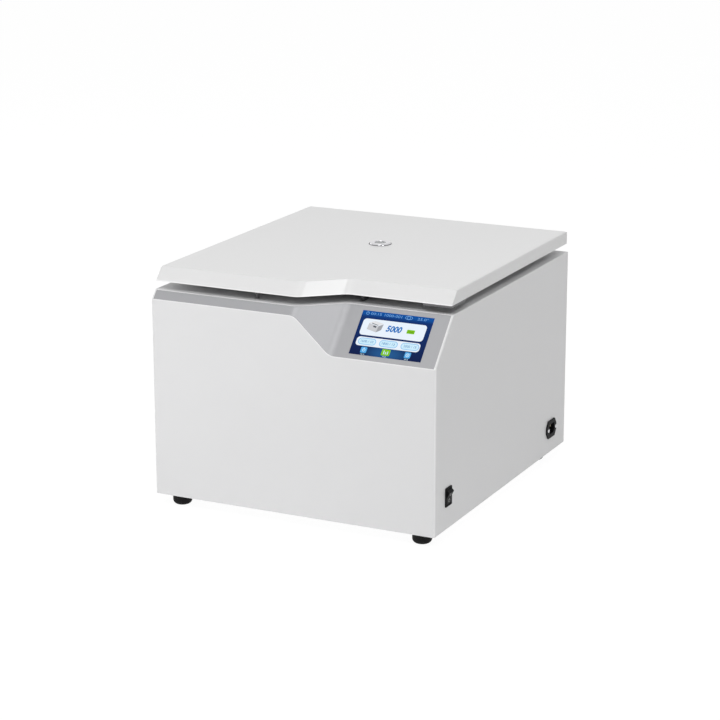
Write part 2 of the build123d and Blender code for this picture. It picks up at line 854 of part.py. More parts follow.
def make_bucket(quarter):
    """Bucket hanging by its collar's open notches from two trunnion pins."""
    along = Vector(math.cos(quarter * math.pi / 2), math.sin(quarter * math.pi / 2), 0)
    pivot = Vector(0, chamber_y, pivot_z) + along * pivot_radius
    section = Plane(origin=pivot, x_dir=along, z_dir=along.cross(Vector(0, 0, 1)))
    with BuildPart() as bucket:
        with BuildSketch(section):
            with BuildLine():
                foot = TangentArc(
                    (bucket_radius - bucket_corner, -bucket_below),
                    (bucket_radius, bucket_corner - bucket_below),
                    tangent=(1, 0),
                )
                Polyline(
                    foot @ 1,
                    (bucket_radius, -collar_below),
                    (collar_radius, -collar_below),
                    (collar_radius, collar_above),
                    (bucket_radius, collar_above + 2),
                    (bucket_radius, bucket_above),
                    (bucket_radius - bucket_wall, bucket_above),
                    (bucket_radius - bucket_wall, bucket_corner - bucket_below),
                )
                cup = TangentArc(
                    (bucket_radius - bucket_wall, bucket_corner - bucket_below),
                    (bucket_radius - bucket_corner, bucket_wall - bucket_below),
                    tangent=(0, -1),
                )
                Polyline(cup @ 1, (0, bucket_wall - bucket_below), (0, -bucket_below), foot @ 0)
            make_face()
        revolve(axis=Axis(pivot, (0, 0, 1)))
        pin_across = Plane(origin=pivot, x_dir=along, z_dir=section.z_dir)
        notch = pin_radius + running_fit
        for side in (-1, 1):
            with BuildSketch(pin_across.offset(side * (bucket_radius + running_fit))):
                Circle(notch)
                with Locations((0, -collar_radius / 2)):
                    Rectangle(2 * notch, collar_radius)
            extrude(amount=side * collar_radius, mode=Mode.SUBTRACT)
    bucket.part.label = f"bucket_{quarter + 1}"
    return bucket


def make_adapter(quarter):
    """Moulded insert in a bucket with one bore for a tube."""
    along = Vector(math.cos(quarter * math.pi / 2), math.sin(quarter * math.pi / 2), 0)
    pivot = Vector(0, chamber_y, pivot_z) + along * pivot_radius
    section = Plane(origin=pivot, x_dir=along, z_dir=along.cross(Vector(0, 0, 1)))
    outer = bucket_radius - bucket_wall - slip_fit
    bottom = bucket_wall - bucket_below
    with BuildPart() as adapter:
        with BuildSketch(section):
            with BuildLine():
                base = Line((0, bottom), (outer - bucket_corner, bottom))
                corner = TangentArc(base @ 1, (outer, bottom + bucket_corner), tangent=(1, 0))
                Polyline(
                    corner @ 1,
                    (outer, bucket_above),
                    (bucket_radius - bucket_wall / 2, bucket_above),
                    (bucket_radius - bucket_wall / 2, bucket_above + adapter_rim - 1),
                    (bucket_radius - bucket_wall / 2 - 1, bucket_above + adapter_rim),
                    (adapter_bore + 1, bucket_above + adapter_rim),
                    (adapter_bore, bucket_above + adapter_rim - 1),
                    (adapter_bore, bottom + adapter_floor + adapter_bore),
                )
                ThreePointArc(
                    (adapter_bore, bottom + adapter_floor + adapter_bore),
                    (
                        adapter_bore * math.sin(math.pi / 4),
                        bottom + adapter_floor + adapter_bore * (1 - math.cos(math.pi / 4)),
                    ),
                    (0, bottom + adapter_floor),
                )
                Line((0, bottom + adapter_floor), base @ 0)
            make_face()
        revolve(axis=Axis(pivot, (0, 0, 1)))
    adapter.part.label = f"tube_adapter_{quarter + 1}"
    return adapter


buckets = [make_bucket(quarter) for quarter in range(4)]
adapters = [make_adapter(quarter) for quarter in range(4)]

# Lid: hollow shell closed from below by a liner over a steel plate
lid_edge = -lid_overhang
lean = 2 * lid_thickness / math.sin(slope)
liner_top = lid_z + liner_thickness
boss_x = lid_width / 2 - lid_wall - boss_radius - boss_inset
boss_rows = [chamber_y + (row - 1.5) * boss_pitch for row in range(4)]
boss_places = [(side * boss_x, y) for side in (-1, 1) for y in boss_rows]
boss_places += [(side * boss_back_x, back_y - lid_wall - boss_back_y) for side in (-1, 1)]


def lid_block(side_wall, edge, top):
    """Solid lid shape inside a side wall, its stepped front leaning back."""
    with BuildPart() as block:
        with BuildSketch(Plane.XY.offset(lid_z)):
            with Locations((0, -side_wall / 2)):
                Rectangle(lid_width - 2 * side_wall, cabinet_depth - side_wall)
        extrude(amount=top - lid_z)
        extrude(ahead_of_step(lid_z, edge), amount=lean, dir=uphill, mode=Mode.SUBTRACT)
    return block.part


with BuildPart() as lid_shell:
    add(lid_block(0, lid_edge, lid_top))
    fillet(lid_shell.edges().group_by(Axis.Z)[-1], edge_round)
    add(lid_block(lid_wall, lid_edge + lid_front_wall, lid_top - lid_wall), mode=Mode.SUBTRACT)
    with BuildSketch(Plane.XY.offset(liner_top)):
        with Locations(*boss_places):
            Circle(boss_radius)
    extrude(amount=lid_top - lid_wall - liner_top)
    with BuildSketch(Plane.XY.offset(liner_top)):
        with Locations(*boss_places):
            Circle(lid_screw_radius + press_fit)
    extrude(amount=lid_thickness / 2, mode=Mode.SUBTRACT)
    with BuildSketch(Plane.XY.offset(lid_top)):
        with Locations((0, chamber_y)):
            Circle(port_bore + port_sleeve_wall + slip_fit)
    extrude(amount=-lid_wall, mode=Mode.SUBTRACT)
lid_shell.part.label = "lid_shell"

leaf_screws = [
    (side * hinge_x + step * leaf_screw_pitch, back_y - hinge_leaf)
    for side in (-1, 1)
    for step in (-1, 0, 1)
]
with BuildPart() as lid_liner:
    add(lid_block(lid_wall + slip_fit, lid_edge + lid_front_wall + slip_fit, liner_top))
    with BuildSketch(Plane.XY.offset(lid_z)):
        with Locations(*boss_places, *leaf_screws):
            Circle(lid_screw_radius + press_fit)
        with Locations((0, chamber_y)):
            Circle(port_bore + port_sleeve_wall + slip_fit)
    extrude(amount=liner_thickness, mode=Mode.SUBTRACT)
lid_liner.part.label = "lid_liner"

with BuildPart() as lid_stiffener:
    with BuildSketch(Plane.XY.offset(liner_top)):
        with Locations((0, chamber_y)):
            RectangleRounded(lid_width - 2 * stiffener_inset, 2 * bowl_radius, lid_thickness)
            Circle(port_bore + port_sleeve_wall + 1, mode=Mode.SUBTRACT)
    extrude(amount=stiffener_thickness)
lid_stiffener.part.label = "lid_stiffener"

with BuildPart() as port_ring:
    sleeve_outer = port_bore + port_sleeve_wall
    port_top = lid_top + port_rise
    glass_low = port_top - port_glass - 0.5
    with BuildSketch(chamber_section):
        with BuildLine():
            Polyline(
                (port_bore, port_top - 0.6),
                (port_bore, glass_low),
                (port_bore - 1.5, glass_low),
                (port_bore - 1.5, lid_z),
                (sleeve_outer, lid_z),
                (sleeve_outer, lid_top),
                (port_radius, lid_top),
                (port_radius, lid_top + port_rise / 3),
            )
            ThreePointArc(
                (port_radius, lid_top + port_rise / 3),
                (port_radius - 1, lid_top + port_rise * 0.8),
                (port_radius - 2.6, port_top),
            )
            Polyline(
                (port_radius - 2.6, port_top), (port_bore + 0.6, port_top), (port_bore, port_top - 0.6)
            )
        make_face()
    revolve(axis=chamber_axis)
port_ring.part.label = "port_ring"

with BuildPart() as port_window:
    with BuildSketch(Plane.XY.offset(glass_low)):
        with Locations((0, chamber_y)):
            Circle(port_bore - running_fit)
    extrude(amount=port_glass)
port_window.part.label = "port_window"

with BuildPart() as lid_corner_pad:
    lid_half = lid_width / 2
    pad_y = front_y + setback_right - lid_overhang
    with BuildSketch(Plane.XY.offset(lid_z - pad_thickness)):
        with Locations((lid_half, pad_y)):
            Rectangle(pad_front, pad_leg, align=(Align.MAX, Align.MIN))
            Rectangle(pad_leg, pad_side, align=(Align.MAX, Align.MIN))
    extrude(amount=pad_thickness)
    fillet(lid_corner_pad.edges().filter_by(Axis.Z), 1)
lid_corner_pad.part.label = "lid_corner_pad"

with BuildPart() as lid_strikers:
    window_z = lid_z - striker_length + lock_window
    for side in (-1, 1):
        with BuildSketch(Plane.XY.offset(lid_z)):
            with Locations((side * lock_x, lock_y)):
                RectangleRounded(striker_foot, striker_width + 2, 3)
        extrude(amount=-sheet)
        with BuildSketch(Plane.YZ.offset(side * lock_x - striker_thickness / 2)):
            with Locations((lock_y, lid_z - striker_length / 2)):
                Rectangle(striker_width, striker_length)
            with Locations((lock_y, window_z)):
                Rectangle(lock_window, lock_window, mode=Mode.SUBTRACT)
        extrude(amount=striker_thickness)
lid_strikers.part.label = "lid_strikers"

hinge_y = back_y - hinge_inset
hinge_z = deck_z + lid_gap / 2
knuckle_radius = lid_gap / 2 - 1
with BuildPart() as hinge_body_leaves:
    knuckle_length = (hinge_length - hinge_middle) / 2 - hinge_play
    for side in (-1, 1):
        with BuildSketch(Plane.XY.offset(deck_z)):
            with Locations((side * hinge_x, hinge_y - hinge_leaf / 2)):
                Rectangle(hinge_length, hinge_leaf)
            with Locations((side * hinge_x, hinge_y)):
                Rectangle(hinge_middle + 2 * hinge_play, 2 * hinge_inset, mode=Mode.SUBTRACT)
        extrude(amount=hinge_leaf_thickness)
        for end in (-1, 1):
            middle = side * hinge_x + end * (hinge_length - knuckle_length) / 2
            with BuildSketch(Plane.YZ.offset(middle - knuckle_length / 2)):
                with Locations((hinge_y, hinge_z)):
                    Circle(knuckle_radius)
            extrude(amount=knuckle_length)
        with BuildSketch(Plane.YZ.offset(side * hinge_x - hinge_length / 2)):
            with Locations((hinge_y, hinge_z)):
                Circle(hinge_pin_radius + press_fit)
        extrude(amount=hinge_length, mode=Mode.SUBTRACT)
hinge_body_leaves.part.label = "hinge_body_leaves"

with BuildPart() as hinge_lid_leaves:
    for side in (-1, 1):
        with BuildSketch(Plane.XY.offset(lid_z)):
            with Locations((side * hinge_x, hinge_y - hinge_leaf / 2 - hinge_inset / 2)):
                Rectangle(hinge_length, hinge_leaf - hinge_inset)
            with Locations((side * hinge_x, hinge_y - hinge_leaf / 2)):
                Rectangle(hinge_middle, hinge_leaf)
            with Locations(*[spot for spot in leaf_screws if spot[0] * side > 0]):
                Circle(lid_screw_radius + press_fit, mode=Mode.SUBTRACT)
        extrude(amount=-hinge_leaf_thickness)
        with BuildSketch(Plane.YZ.offset(side * hinge_x - hinge_middle / 2)):
            with Locations((hinge_y, hinge_z)):
                Circle(knuckle_radius)
        extrude(amount=hinge_middle)
        with BuildSketch(Plane.YZ.offset(side * hinge_x - hinge_middle / 2)):
            with Locations((hinge_y, hinge_z)):
                Circle(hinge_pin_radius + running_fit)
        extrude(amount=hinge_middle, mode=Mode.SUBTRACT)
hinge_lid_leaves.part.label = "hinge_lid_leaves"

with BuildPart() as hinge_pins:
    for side in (-1, 1):
        with BuildSketch(Plane.YZ.offset(side * hinge_x - hinge_length / 2)):
            with Locations((hinge_y, hinge_z)):
                Circle(hinge_pin_radius)
        extrude(amount=hinge_length)
hinge_pins.part.label = "hinge_pins"

with BuildPart() as lid_screws:
    for spots, under in ((boss_places, lid_z), (leaf_screws, lid_z - hinge_leaf_thickness)):
        with BuildSketch(Plane.XY.offset(under)):
            with Locations(*spots):
                Circle(lid_screw_head)
        extrude(amount=-lid_screw_head_height)
        with BuildSketch(Plane.XY.offset(under)):
            with Locations(*spots):
                Circle(lid_screw_radius)
        extrude(amount=liner_top + 2 - under)
    fillet(lid_screws.edges().group_by(Axis.Z)[0], 0.8)
lid_screws.part.label = "lid_screws"

# Lid lock: a bar in a channel under the deck, pulled by a solenoid into both strikers
with BuildPart() as lock_housing:
    channel_low = deck_under - lock_channel_height
    with BuildSketch(Plane.YZ.offset(-lock_channel_length / 2)):
        with Locations((lock_y, channel_low)):
            Rectangle(lock_channel_width, lock_channel_height, align=(Align.CENTER, Align.MIN))
        with Locations((lock_y, channel_low + lock_sheet)):
            Rectangle(
                lock_channel_width - 2 * lock_sheet,
                lock_channel_height,
                align=(Align.CENTER, Align.MIN),
                mode=Mode.SUBTRACT,
            )
    extrude(amount=lock_channel_length)
lock_housing.part.label = "lock_housing"

channel_floor = channel_low + lock_sheet
bar_low = channel_floor + slip_fit
with BuildPart() as lock_bar:
    bar_y = lock_y + lock_channel_width / 2 - lock_sheet - slip_fit
    pin_ends = [side * lock_x - striker_thickness / 2 - lock_reach for side in (-1, 1)]
    block_ends = [pin_end - lock_travel for pin_end in pin_ends]
    bar_left = block_ends[0] - bar_block
    plunger_end = solenoid_length / 2 + lock_travel + bar_block
    with BuildSketch(Plane.XY.offset(bar_low)):
        with Locations((bar_left, bar_y)):
            Rectangle(block_ends[1] - bar_left, bar_thickness, align=(Align.MIN, Align.MAX))
        for block_end in block_ends:
            with Locations((block_end, bar_y)):
                Rectangle(bar_block, bar_y - lock_y + bar_block, align=(Align.MAX, Align.MAX))
        with Locations((plunger_end, bar_y)):
            Rectangle(bar_thickness, bar_y - lock_y + bar_block, align=(Align.MIN, Align.MAX))
    extrude(amount=bar_height)
    for block_end in block_ends:
        with BuildSketch(Plane.YZ.offset(block_end)):
            with Locations((lock_y, window_z)):
                Circle(lock_pin_radius)
        extrude(amount=lock_travel)
    with BuildSketch(Plane.YZ):
        with Locations((lock_y, bar_low + solenoid_side / 2)):
            Circle(plunger_radius)
    extrude(amount=plunger_end)
lock_bar.part.label = "lock_bar"

with BuildPart() as lock_solenoid:
    with BuildSketch(Plane.YZ.offset(-solenoid_length / 2)):
        with Locations((lock_y - 2, channel_floor)):
            Rectangle(solenoid_side + 2, solenoid_side, align=(Align.CENTER, Align.MIN))
        with Locations((lock_y, bar_low + solenoid_side / 2)):
            Circle(plunger_radius + slip_fit, mode=Mode.SUBTRACT)
    extrude(amount=solenoid_length)
lock_solenoid.part.label = "lock_solenoid"

with BuildPart() as sensor_housing:
    with BuildSketch(Plane.XY.offset(deck_under)):
        with Locations((sensor_x, sensor_y)):
            Rectangle(2 * sensor_side, sensor_side)
            Circle(sensor_pin_radius + running_fit, mode=Mode.SUBTRACT)
    extrude(amount=-sensor_depth)
sensor_housing.part.label = "sensor_housing"

with BuildPart() as lid_sensor_pin:
    with BuildSketch(Plane.XY.offset(deck_under - sensor_depth + sensor_travel)):
        with Locations((sensor_x, sensor_y)):
            Circle(sensor_pin_radius)
    extrude(amount=lid_z - rest_gap - deck_under + sensor_depth - sensor_travel)
    fillet(lid_sensor_pin.edges().group_by(Axis.Z)[-1], 1)
lid_sensor_pin.part.label = "lid_sensor_pin"

# Rocker switch in the right side
pivot_x = half_width - rocker_depth
with BuildPart() as switch_frame:
    with BuildSketch(side_face):
        with Locations((switch_y, switch_z)):
            RectangleRounded(switch_face_width, switch_face_height, 1.5)
    extrude(amount=switch_flange)
    fillet(switch_frame.edges().group_by(Axis.X)[-1], 0.8)
    with BuildSketch(side_face):
        with Locations((switch_y, switch_z)):
            Rectangle(switch_body_width, switch_body_height)
    extrude(amount=-switch_body_depth)
    with BuildSketch(side_face.offset(switch_flange)):
        with Locations((switch_y, switch_z)):
            Rectangle(rocker_width + 4 * slip_fit, 2 * rocker_radius + 4 * slip_fit)
    extrude(amount=-switch_flange - switch_body_depth + switch_wall, mode=Mode.SUBTRACT)
    with BuildSketch(Plane.XZ.offset(-switch_y)):
        with Locations((pivot_x, switch_z)):
            Circle(trunnion_radius + running_fit)
    extrude(amount=rocker_width / 2 + 1, both=True, mode=Mode.SUBTRACT)
    with BuildSketch(side_face.offset(-switch_body_depth)):
        with Locations((switch_y, switch_z)):
            with GridLocations(0, terminal_length, 1, 3):
                Rectangle(4.8, 0.8)
    extrude(amount=-terminal_length)
switch_frame.part.label = "switch_frame"

with BuildPart() as switch_rocker:
    tilt = Plane(
        origin=(pivot_x, switch_y, switch_z),
        x_dir=(math.cos(math.radians(rocker_tilt)), 0, -math.sin(math.radians(rocker_tilt))),
        z_dir=(0, -1, 0),
    )
    face_high = 0.66 * rocker_radius
    valley = 0.48 * rocker_radius
    horn = math.sqrt(rocker_radius**2 - face_high**2)
    with BuildSketch(tilt):
        Circle(rocker_radius)
        with BuildLine():
            Polyline(
                (face_high, horn),
                (valley, 0),
                (face_high, -horn),
                (2 * rocker_radius, -horn),
                (2 * rocker_radius, horn),
                close=True,
            )
        make_face(mode=Mode.SUBTRACT)
        with Locations((-2 * rocker_radius + 2, 0)):
            Rectangle(2 * rocker_radius, 2 * rocker_radius, mode=Mode.SUBTRACT)
    extrude(amount=rocker_width / 2, both=True)
    with BuildSketch(tilt):
        Circle(trunnion_radius)
    extrude(amount=rocker_width / 2 + 0.8, both=True)
switch_rocker.part.label = "switch_rocker"

# Mains inlet in the right side
with BuildPart() as power_inlet:
    ear = inlet_flange_width / 2
    wide = inlet_body_width / 2 + 1.5
    tall = inlet_flange_height / 2
    low = inlet_ear_height / 2
    with BuildSketch(inlet_face):
        with BuildLine():
            Polyline(
                (-ear, low),
                (-wide, tall),
                (wide, tall),
                (ear, low),
                (ear, -low),
                (wide, -tall),
                (-wide, -tall),
                (-ear, -low),
                close=True,
            )
        make_face()
    extrude(amount=inlet_flange_thickness)
    fillet(power_inlet.edges().filter_by(Axis.X), 1.5)
    with BuildSketch(inlet_face):
        Rectangle(inlet_body_width, inlet_body_height)
    extrude(amount=-inlet_body_depth)
    mouth = inlet_face.offset(inlet_flange_thickness)
    with BuildSketch(mouth):
        with BuildLine():
            top = socket_height / 2
            side = socket_width / 2
            Polyline(
                (-side, top),
                (side, top),
                (side, socket_bevel - top),
                (side - socket_bevel, -top),
                (socket_bevel - side, -top),
                (-side, socket_bevel - top),
                close=True,
            )
        make_face()
    extrude(amount=-socket_depth, mode=Mode.SUBTRACT)
    with BuildSketch(mouth):
        with GridLocations(inlet_screw_pitch, 0, 2, 1):
            Circle(lid_screw_radius + press_fit)
    extrude(amount=-inlet_flange_thickness, mode=Mode.SUBTRACT)
power_inlet.part.label = "power_inlet"

pin_spots = [
    (inlet_y - inlet_pin_spread, inlet_z + inlet_pin_lift),
    (inlet_y, inlet_z - inlet_pin_drop),
    (inlet_y + inlet_pin_spread, inlet_z + inlet_pin_lift),
]
with BuildPart() as inlet_pins:
    with BuildSketch(side_face.offset(inlet_flange_thickness - socket_depth)):
        with Locations(*pin_spots):
            Rectangle(inlet_pin_width, inlet_pin_height)
    extrude(amount=socket_depth - inlet_pin_inset)
    chamfer(inlet_pins.edges().group_by(Axis.X)[-1], 0.5)
inlet_pins.part.label = "inlet_pins"

with BuildPart() as inlet_screws:
    with BuildSketch(side_face.offset(inlet_flange_thickness)):
        with Locations(*inlet_ears):
            Circle(inlet_screw_head)
    extrude(amount=lid_screw_head_height)
    fillet(inlet_screws.edges().group_by(Axis.X)[-1], lid_screw_head_height / 2)
    with BuildSketch(side_face.offset(inlet_flange_thickness)):
        with Locations(*inlet_ears):
            Circle(lid_screw_radius)
    extrude(amount=-inlet_flange_thickness - 8)
inlet_screws.part.label = "inlet_screws"

# Fan behind the rear panel, with its finger guard outside
fan_front = back_y - sheet - fan_depth
fan_face = Plane(origin=(fan_x, fan_front, fan_z), x_dir=(-1, 0, 0), z_dir=(0, 1, 0))
with BuildPart() as fan_frame:
    with BuildSketch(fan_face):
        RectangleRounded(fan_side, fan_side, 5)
        Circle(fan_duct, mode=Mode.SUBTRACT)
        with GridLocations(fan_screw_pitch, fan_screw_pitch, 2, 2):
            Circle(lid_screw_radius + press_fit, mode=Mode.SUBTRACT)
    extrude(amount=fan_depth)
    with BuildSketch(fan_face):
        Circle(fan_hub)
        with PolarLocations(fan_duct / 2 + 5, 4, 45):
            Rectangle(fan_duct, 2 * fan_axle)
    extrude(amount=spider)
    with BuildSketch(fan_face):
        Circle(fan_axle + running_fit)
    extrude(amount=spider, mode=Mode.SUBTRACT)
fan_frame.part.label = "fan_frame"

with BuildPart() as fan_impeller:
    with BuildSketch(fan_face.offset(spider + 1)):
        Circle(fan_hub)
    extrude(amount=fan_depth - 2 * spider - 1)
    fillet(fan_impeller.edges().group_by(Axis.Y)[-1], 2)
    with BuildSketch(fan_face):
        Circle(fan_axle)
    extrude(amount=2 * spider)
    for blade in range(blade_count):
        turn = 2 * math.pi * blade / blade_count
        radial = Vector(math.cos(turn), 0, math.sin(turn))
        root = Vector(fan_x, fan_front + fan_depth / 2 + 1, fan_z) + radial * (fan_hub - 2)
        with BuildSketch(Plane(origin=root, x_dir=(0, 1, 0), z_dir=radial)):
            Rectangle(blade_chord, blade_thickness, rotation=blade_pitch)
        extrude(amount=fan_duct - fan_hub)
fan_impeller.part.label = "fan_impeller"

with BuildPart() as fan_guard:
    ring_step = (fan_duct + 1) / guard_rings
    with BuildSketch(rear_face):
        with Locations((-fan_x, fan_z)):
            for ring in range(guard_rings, 0, -1):
                Circle(ring * ring_step + guard_wire / 2)
                Circle(ring * ring_step - guard_wire / 2, mode=Mode.SUBTRACT)
        with Locations((-fan_x, fan_z)):
            Circle(ring_step / 2)
            for turn in (45, 135):
                Rectangle(fan_screw_pitch * math.sqrt(2) - 4, 1.5 * guard_wire, rotation=turn)
        with Locations(*fan_screw_places):
            Circle(4.5)
            Circle(lid_screw_radius + slip_fit, mode=Mode.SUBTRACT)
    extrude(amount=guard_depth)
fan_guard.part.label = "fan_guard"

with BuildPart() as rear_screws:
    for spots, lift in ((rear_screw_places, 0), (fan_screw_places, guard_depth)):
        with BuildSketch(rear_face.offset(lift)):
            with Locations(*spots):
                Circle(lid_screw_head)
        extrude(amount=lid_screw_head_height)
        with BuildSketch(rear_face.offset(lift)):
            with Locations(*spots):
                Circle(lid_screw_radius)
        extrude(amount=-lift - sheet)
rear_screws.part.label = "rear_screws"

# Feet
with BuildPart() as rubber_feet:
    for x, y in foot_places:
        with BuildSketch(Plane.XZ.offset(-y)):
            with BuildLine():
                rim = Line((x + foot_radius - foot_round, 0), (x + foot_head_radius + foot_recess_play, 0))
                Polyline(
                    rim @ 1,
                    (x + foot_head_radius + foot_recess_play, foot_recess_depth),
                    (x + foot_screw_radius + slip_fit, foot_recess_depth),
                    (x + foot_screw_radius + slip_fit, foot_height),
                    (x + foot_radius, foot_height),
                    (x + foot_radius, foot_round),
                )
                TangentArc(
                    (x + foot_radius, foot_round), (x + foot_radius - foot_round, 0), tangent=(0, -1)
                )
            make_face()
        revolve(axis=Axis((x, y, 0), (0, 0, 1)))
rubber_feet.part.label = "rubber_feet"

with BuildPart() as foot_screws:
    with BuildSketch(Plane.XY.offset(foot_recess_depth)):
        with Locations(*foot_places):
            Circle(foot_head_radius)
    extrude(amount=-foot_head_height)
    fillet(foot_screws.edges().group_by(Axis.Z)[0], 1)
    with BuildSketch(Plane.XY.offset(foot_recess_depth)):
        with Locations(*foot_places):
            Circle(foot_screw_radius)
    extrude(amount=pan_z + foot_thread - foot_recess_depth)
foot_screws.part.label = "foot_screws"

# Power supply on the left, motor drive with its heat sink on the right
with BuildPart() as power_supply:
    supply_x = -half_width + sheet + supply_clearance + supply_size[0] / 2
    supply_y = chamber_y - supply_shift
    with BuildSketch(Plane.XY.offset(pan_z)):
        with Locations((supply_x, supply_y)):
            Rectangle(supply_size[0], supply_size[1])
    extrude(amount=supply_size[2])
    shell_faces = power_supply.faces().sort_by(Axis.Z)[-1:]
    offset(amount=-supply_sheet, openings=shell_faces)
    with BuildSketch(Plane.XY.offset(pan_z + supply_size[2])):
        with Locations((supply_x, supply_y)):
            Rectangle(supply_size[0], supply_size[1])
            with GridLocations(supply_hole_pitch, supply_hole_pitch, *supply_holes):
                Circle(supply_hole_radius, mode=Mode.SUBTRACT)
    extrude(amount=-supply_sheet)
power_supply.part.label = "power_supply"

with BuildPart() as drive_board:
    board_z = pan_z + post_height
    with BuildSketch(Plane.XY.offset(board_z)):
        with Locations((drive_x, drive_y)):
            Rectangle(*drive_size)
    extrude(amount=board_thickness)
    with BuildSketch(Plane.XY.offset(board_z + board_thickness)):
        with Locations(*[(drive_x - drive_row, drive_y + place) for place in capacitor_places]):
            Circle(capacitor_radius)
        with Locations((drive_x - drive_row, drive_y + choke_place)):
            Rectangle(*choke_size)
    extrude(amount=tall_parts)
drive_board.part.label = "drive_board"

with BuildPart() as heat_sink:
    sink_x = drive_x + drive_row - 2
    fin_pitch = (sink_size[0] - sink_fin) / (sink_fin_count - 1)
    with BuildSketch(Plane.XY.offset(board_z + board_thickness)):
        with Locations((sink_x, drive_y)):
            Rectangle(*sink_size)
    extrude(amount=sink_base)
    with BuildSketch(Plane.XY.offset(board_z + board_thickness + sink_base)):
        with Locations((sink_x, drive_y)):
            with GridLocations(fin_pitch, 0, sink_fin_count, 1):
                Rectangle(sink_fin, sink_size[1])
    extrude(amount=tall_parts - sink_base)
heat_sink.part.label = "heat_sink"

pieces = [
    cabinet_shell, console_fascia, screen_glass, display_module, base_pan, rear_panel, top_deck,
    chamber_bowl, chamber_gasket, guard_ring, vibration_mounts, motor_mount_plate, motor_housing,
    motor_screws, motor_bearings, motor_stator, bowl_boot, motor_shaft, motor_magnet, rotor_yoke,
    trunnion_pins, rotor_nut, *buckets, *adapters, lid_shell, lid_liner, lid_stiffener, port_ring,
    port_window, lid_corner_pad, lid_strikers, hinge_body_leaves, hinge_lid_leaves, hinge_pins,
    lid_screws, lock_housing, lock_bar, lock_solenoid, sensor_housing, lid_sensor_pin, switch_frame,
    switch_rocker, power_inlet, inlet_pins, inlet_screws, fan_frame, fan_impeller, fan_guard,
    rear_screws, rubber_feet, foot_screws, power_supply, drive_board, heat_sink,
]
os.makedirs("parts", exist_ok=True)
for piece in pieces:
    export_step(piece.part, f"parts/{piece.part.label}.step")
    print(piece.part.label, len(piece.part.solids()), round(piece.part.volume))
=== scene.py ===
import json
import math
import bmesh
import bpy
import numpy as np
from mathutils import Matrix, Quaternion, Vector


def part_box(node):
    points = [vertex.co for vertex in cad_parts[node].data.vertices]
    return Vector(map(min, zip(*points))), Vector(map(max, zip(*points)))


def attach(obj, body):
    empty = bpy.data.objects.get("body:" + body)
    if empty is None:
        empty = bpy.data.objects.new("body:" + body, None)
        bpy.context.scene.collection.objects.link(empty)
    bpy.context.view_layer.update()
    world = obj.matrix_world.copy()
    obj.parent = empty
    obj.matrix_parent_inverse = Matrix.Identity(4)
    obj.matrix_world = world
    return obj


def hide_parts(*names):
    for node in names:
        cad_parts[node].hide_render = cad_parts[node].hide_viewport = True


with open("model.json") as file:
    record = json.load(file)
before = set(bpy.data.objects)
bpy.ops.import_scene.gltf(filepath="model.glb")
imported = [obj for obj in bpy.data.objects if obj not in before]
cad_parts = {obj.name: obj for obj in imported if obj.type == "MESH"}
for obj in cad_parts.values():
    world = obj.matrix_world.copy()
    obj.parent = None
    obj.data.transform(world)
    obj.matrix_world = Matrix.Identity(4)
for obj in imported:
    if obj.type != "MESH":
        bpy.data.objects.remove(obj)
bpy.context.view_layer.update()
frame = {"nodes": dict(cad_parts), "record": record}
nodes = frame["nodes"]
scene = bpy.context.scene
print("frame loaded:", len(nodes), "nodes")

# places shared by several pieces, in metres
layout = {
    "frontY": -0.235,
    "backY": 0.235,
    "lidZ": 0.320,  # the lid's underside
    "lidTop": 0.338,
    "chamber": (0.0, 0.044),  # the rotor's axis
    "slope": math.radians(47.2),  # of the console's face
    "consoleFootZ": 0.247634,  # where that face meets the front panel
    "switch": (0.209, -0.1913, 0.0629),  # the rocker's pivot
    "inlet": (0.2145, 0.180, 0.0538),
    "fan": (-0.112, 0.235, 0.088),
}


class Wire:
    # one socket's value; sums and products of it add Math nodes
    def __init__(self, finish, socket):
        self.finish = finish
        self.socket = socket

    def math(self, operation, *others):
        values = {i + 1: other for i, other in enumerate(others)}
        return self.finish.node("Math", {"operation": operation}, {0: self, **values})

    def rmath(self, operation, other):
        return self.finish.node("Math", {"operation": operation}, {0: other, 1: self})

    def __add__(self, other): return self.math("ADD", other)
    def __radd__(self, other): return self.rmath("ADD", other)
    def __sub__(self, other): return self.math("SUBTRACT", other)
    def __rsub__(self, other): return self.rmath("SUBTRACT", other)
    def __mul__(self, other): return self.math("MULTIPLY", other)
    def __rmul__(self, other): return self.rmath("MULTIPLY", other)
    def __truediv__(self, other): return self.math("DIVIDE", other)
    def __rtruediv__(self, other): return self.rmath("DIVIDE", other)
    def __pow__(self, other): return self.math("POWER", other)
    def __rpow__(self, other): return self.rmath("POWER", other)
    def __lt__(self, other): return self.math("LESS_THAN", other)
    def __gt__(self, other): return self.math("GREATER_THAN", other)
    def __abs__(self): return self.math("ABSOLUTE")

    def clamp(self):
        return self.finish.node("Clamp", {}, {0: self})


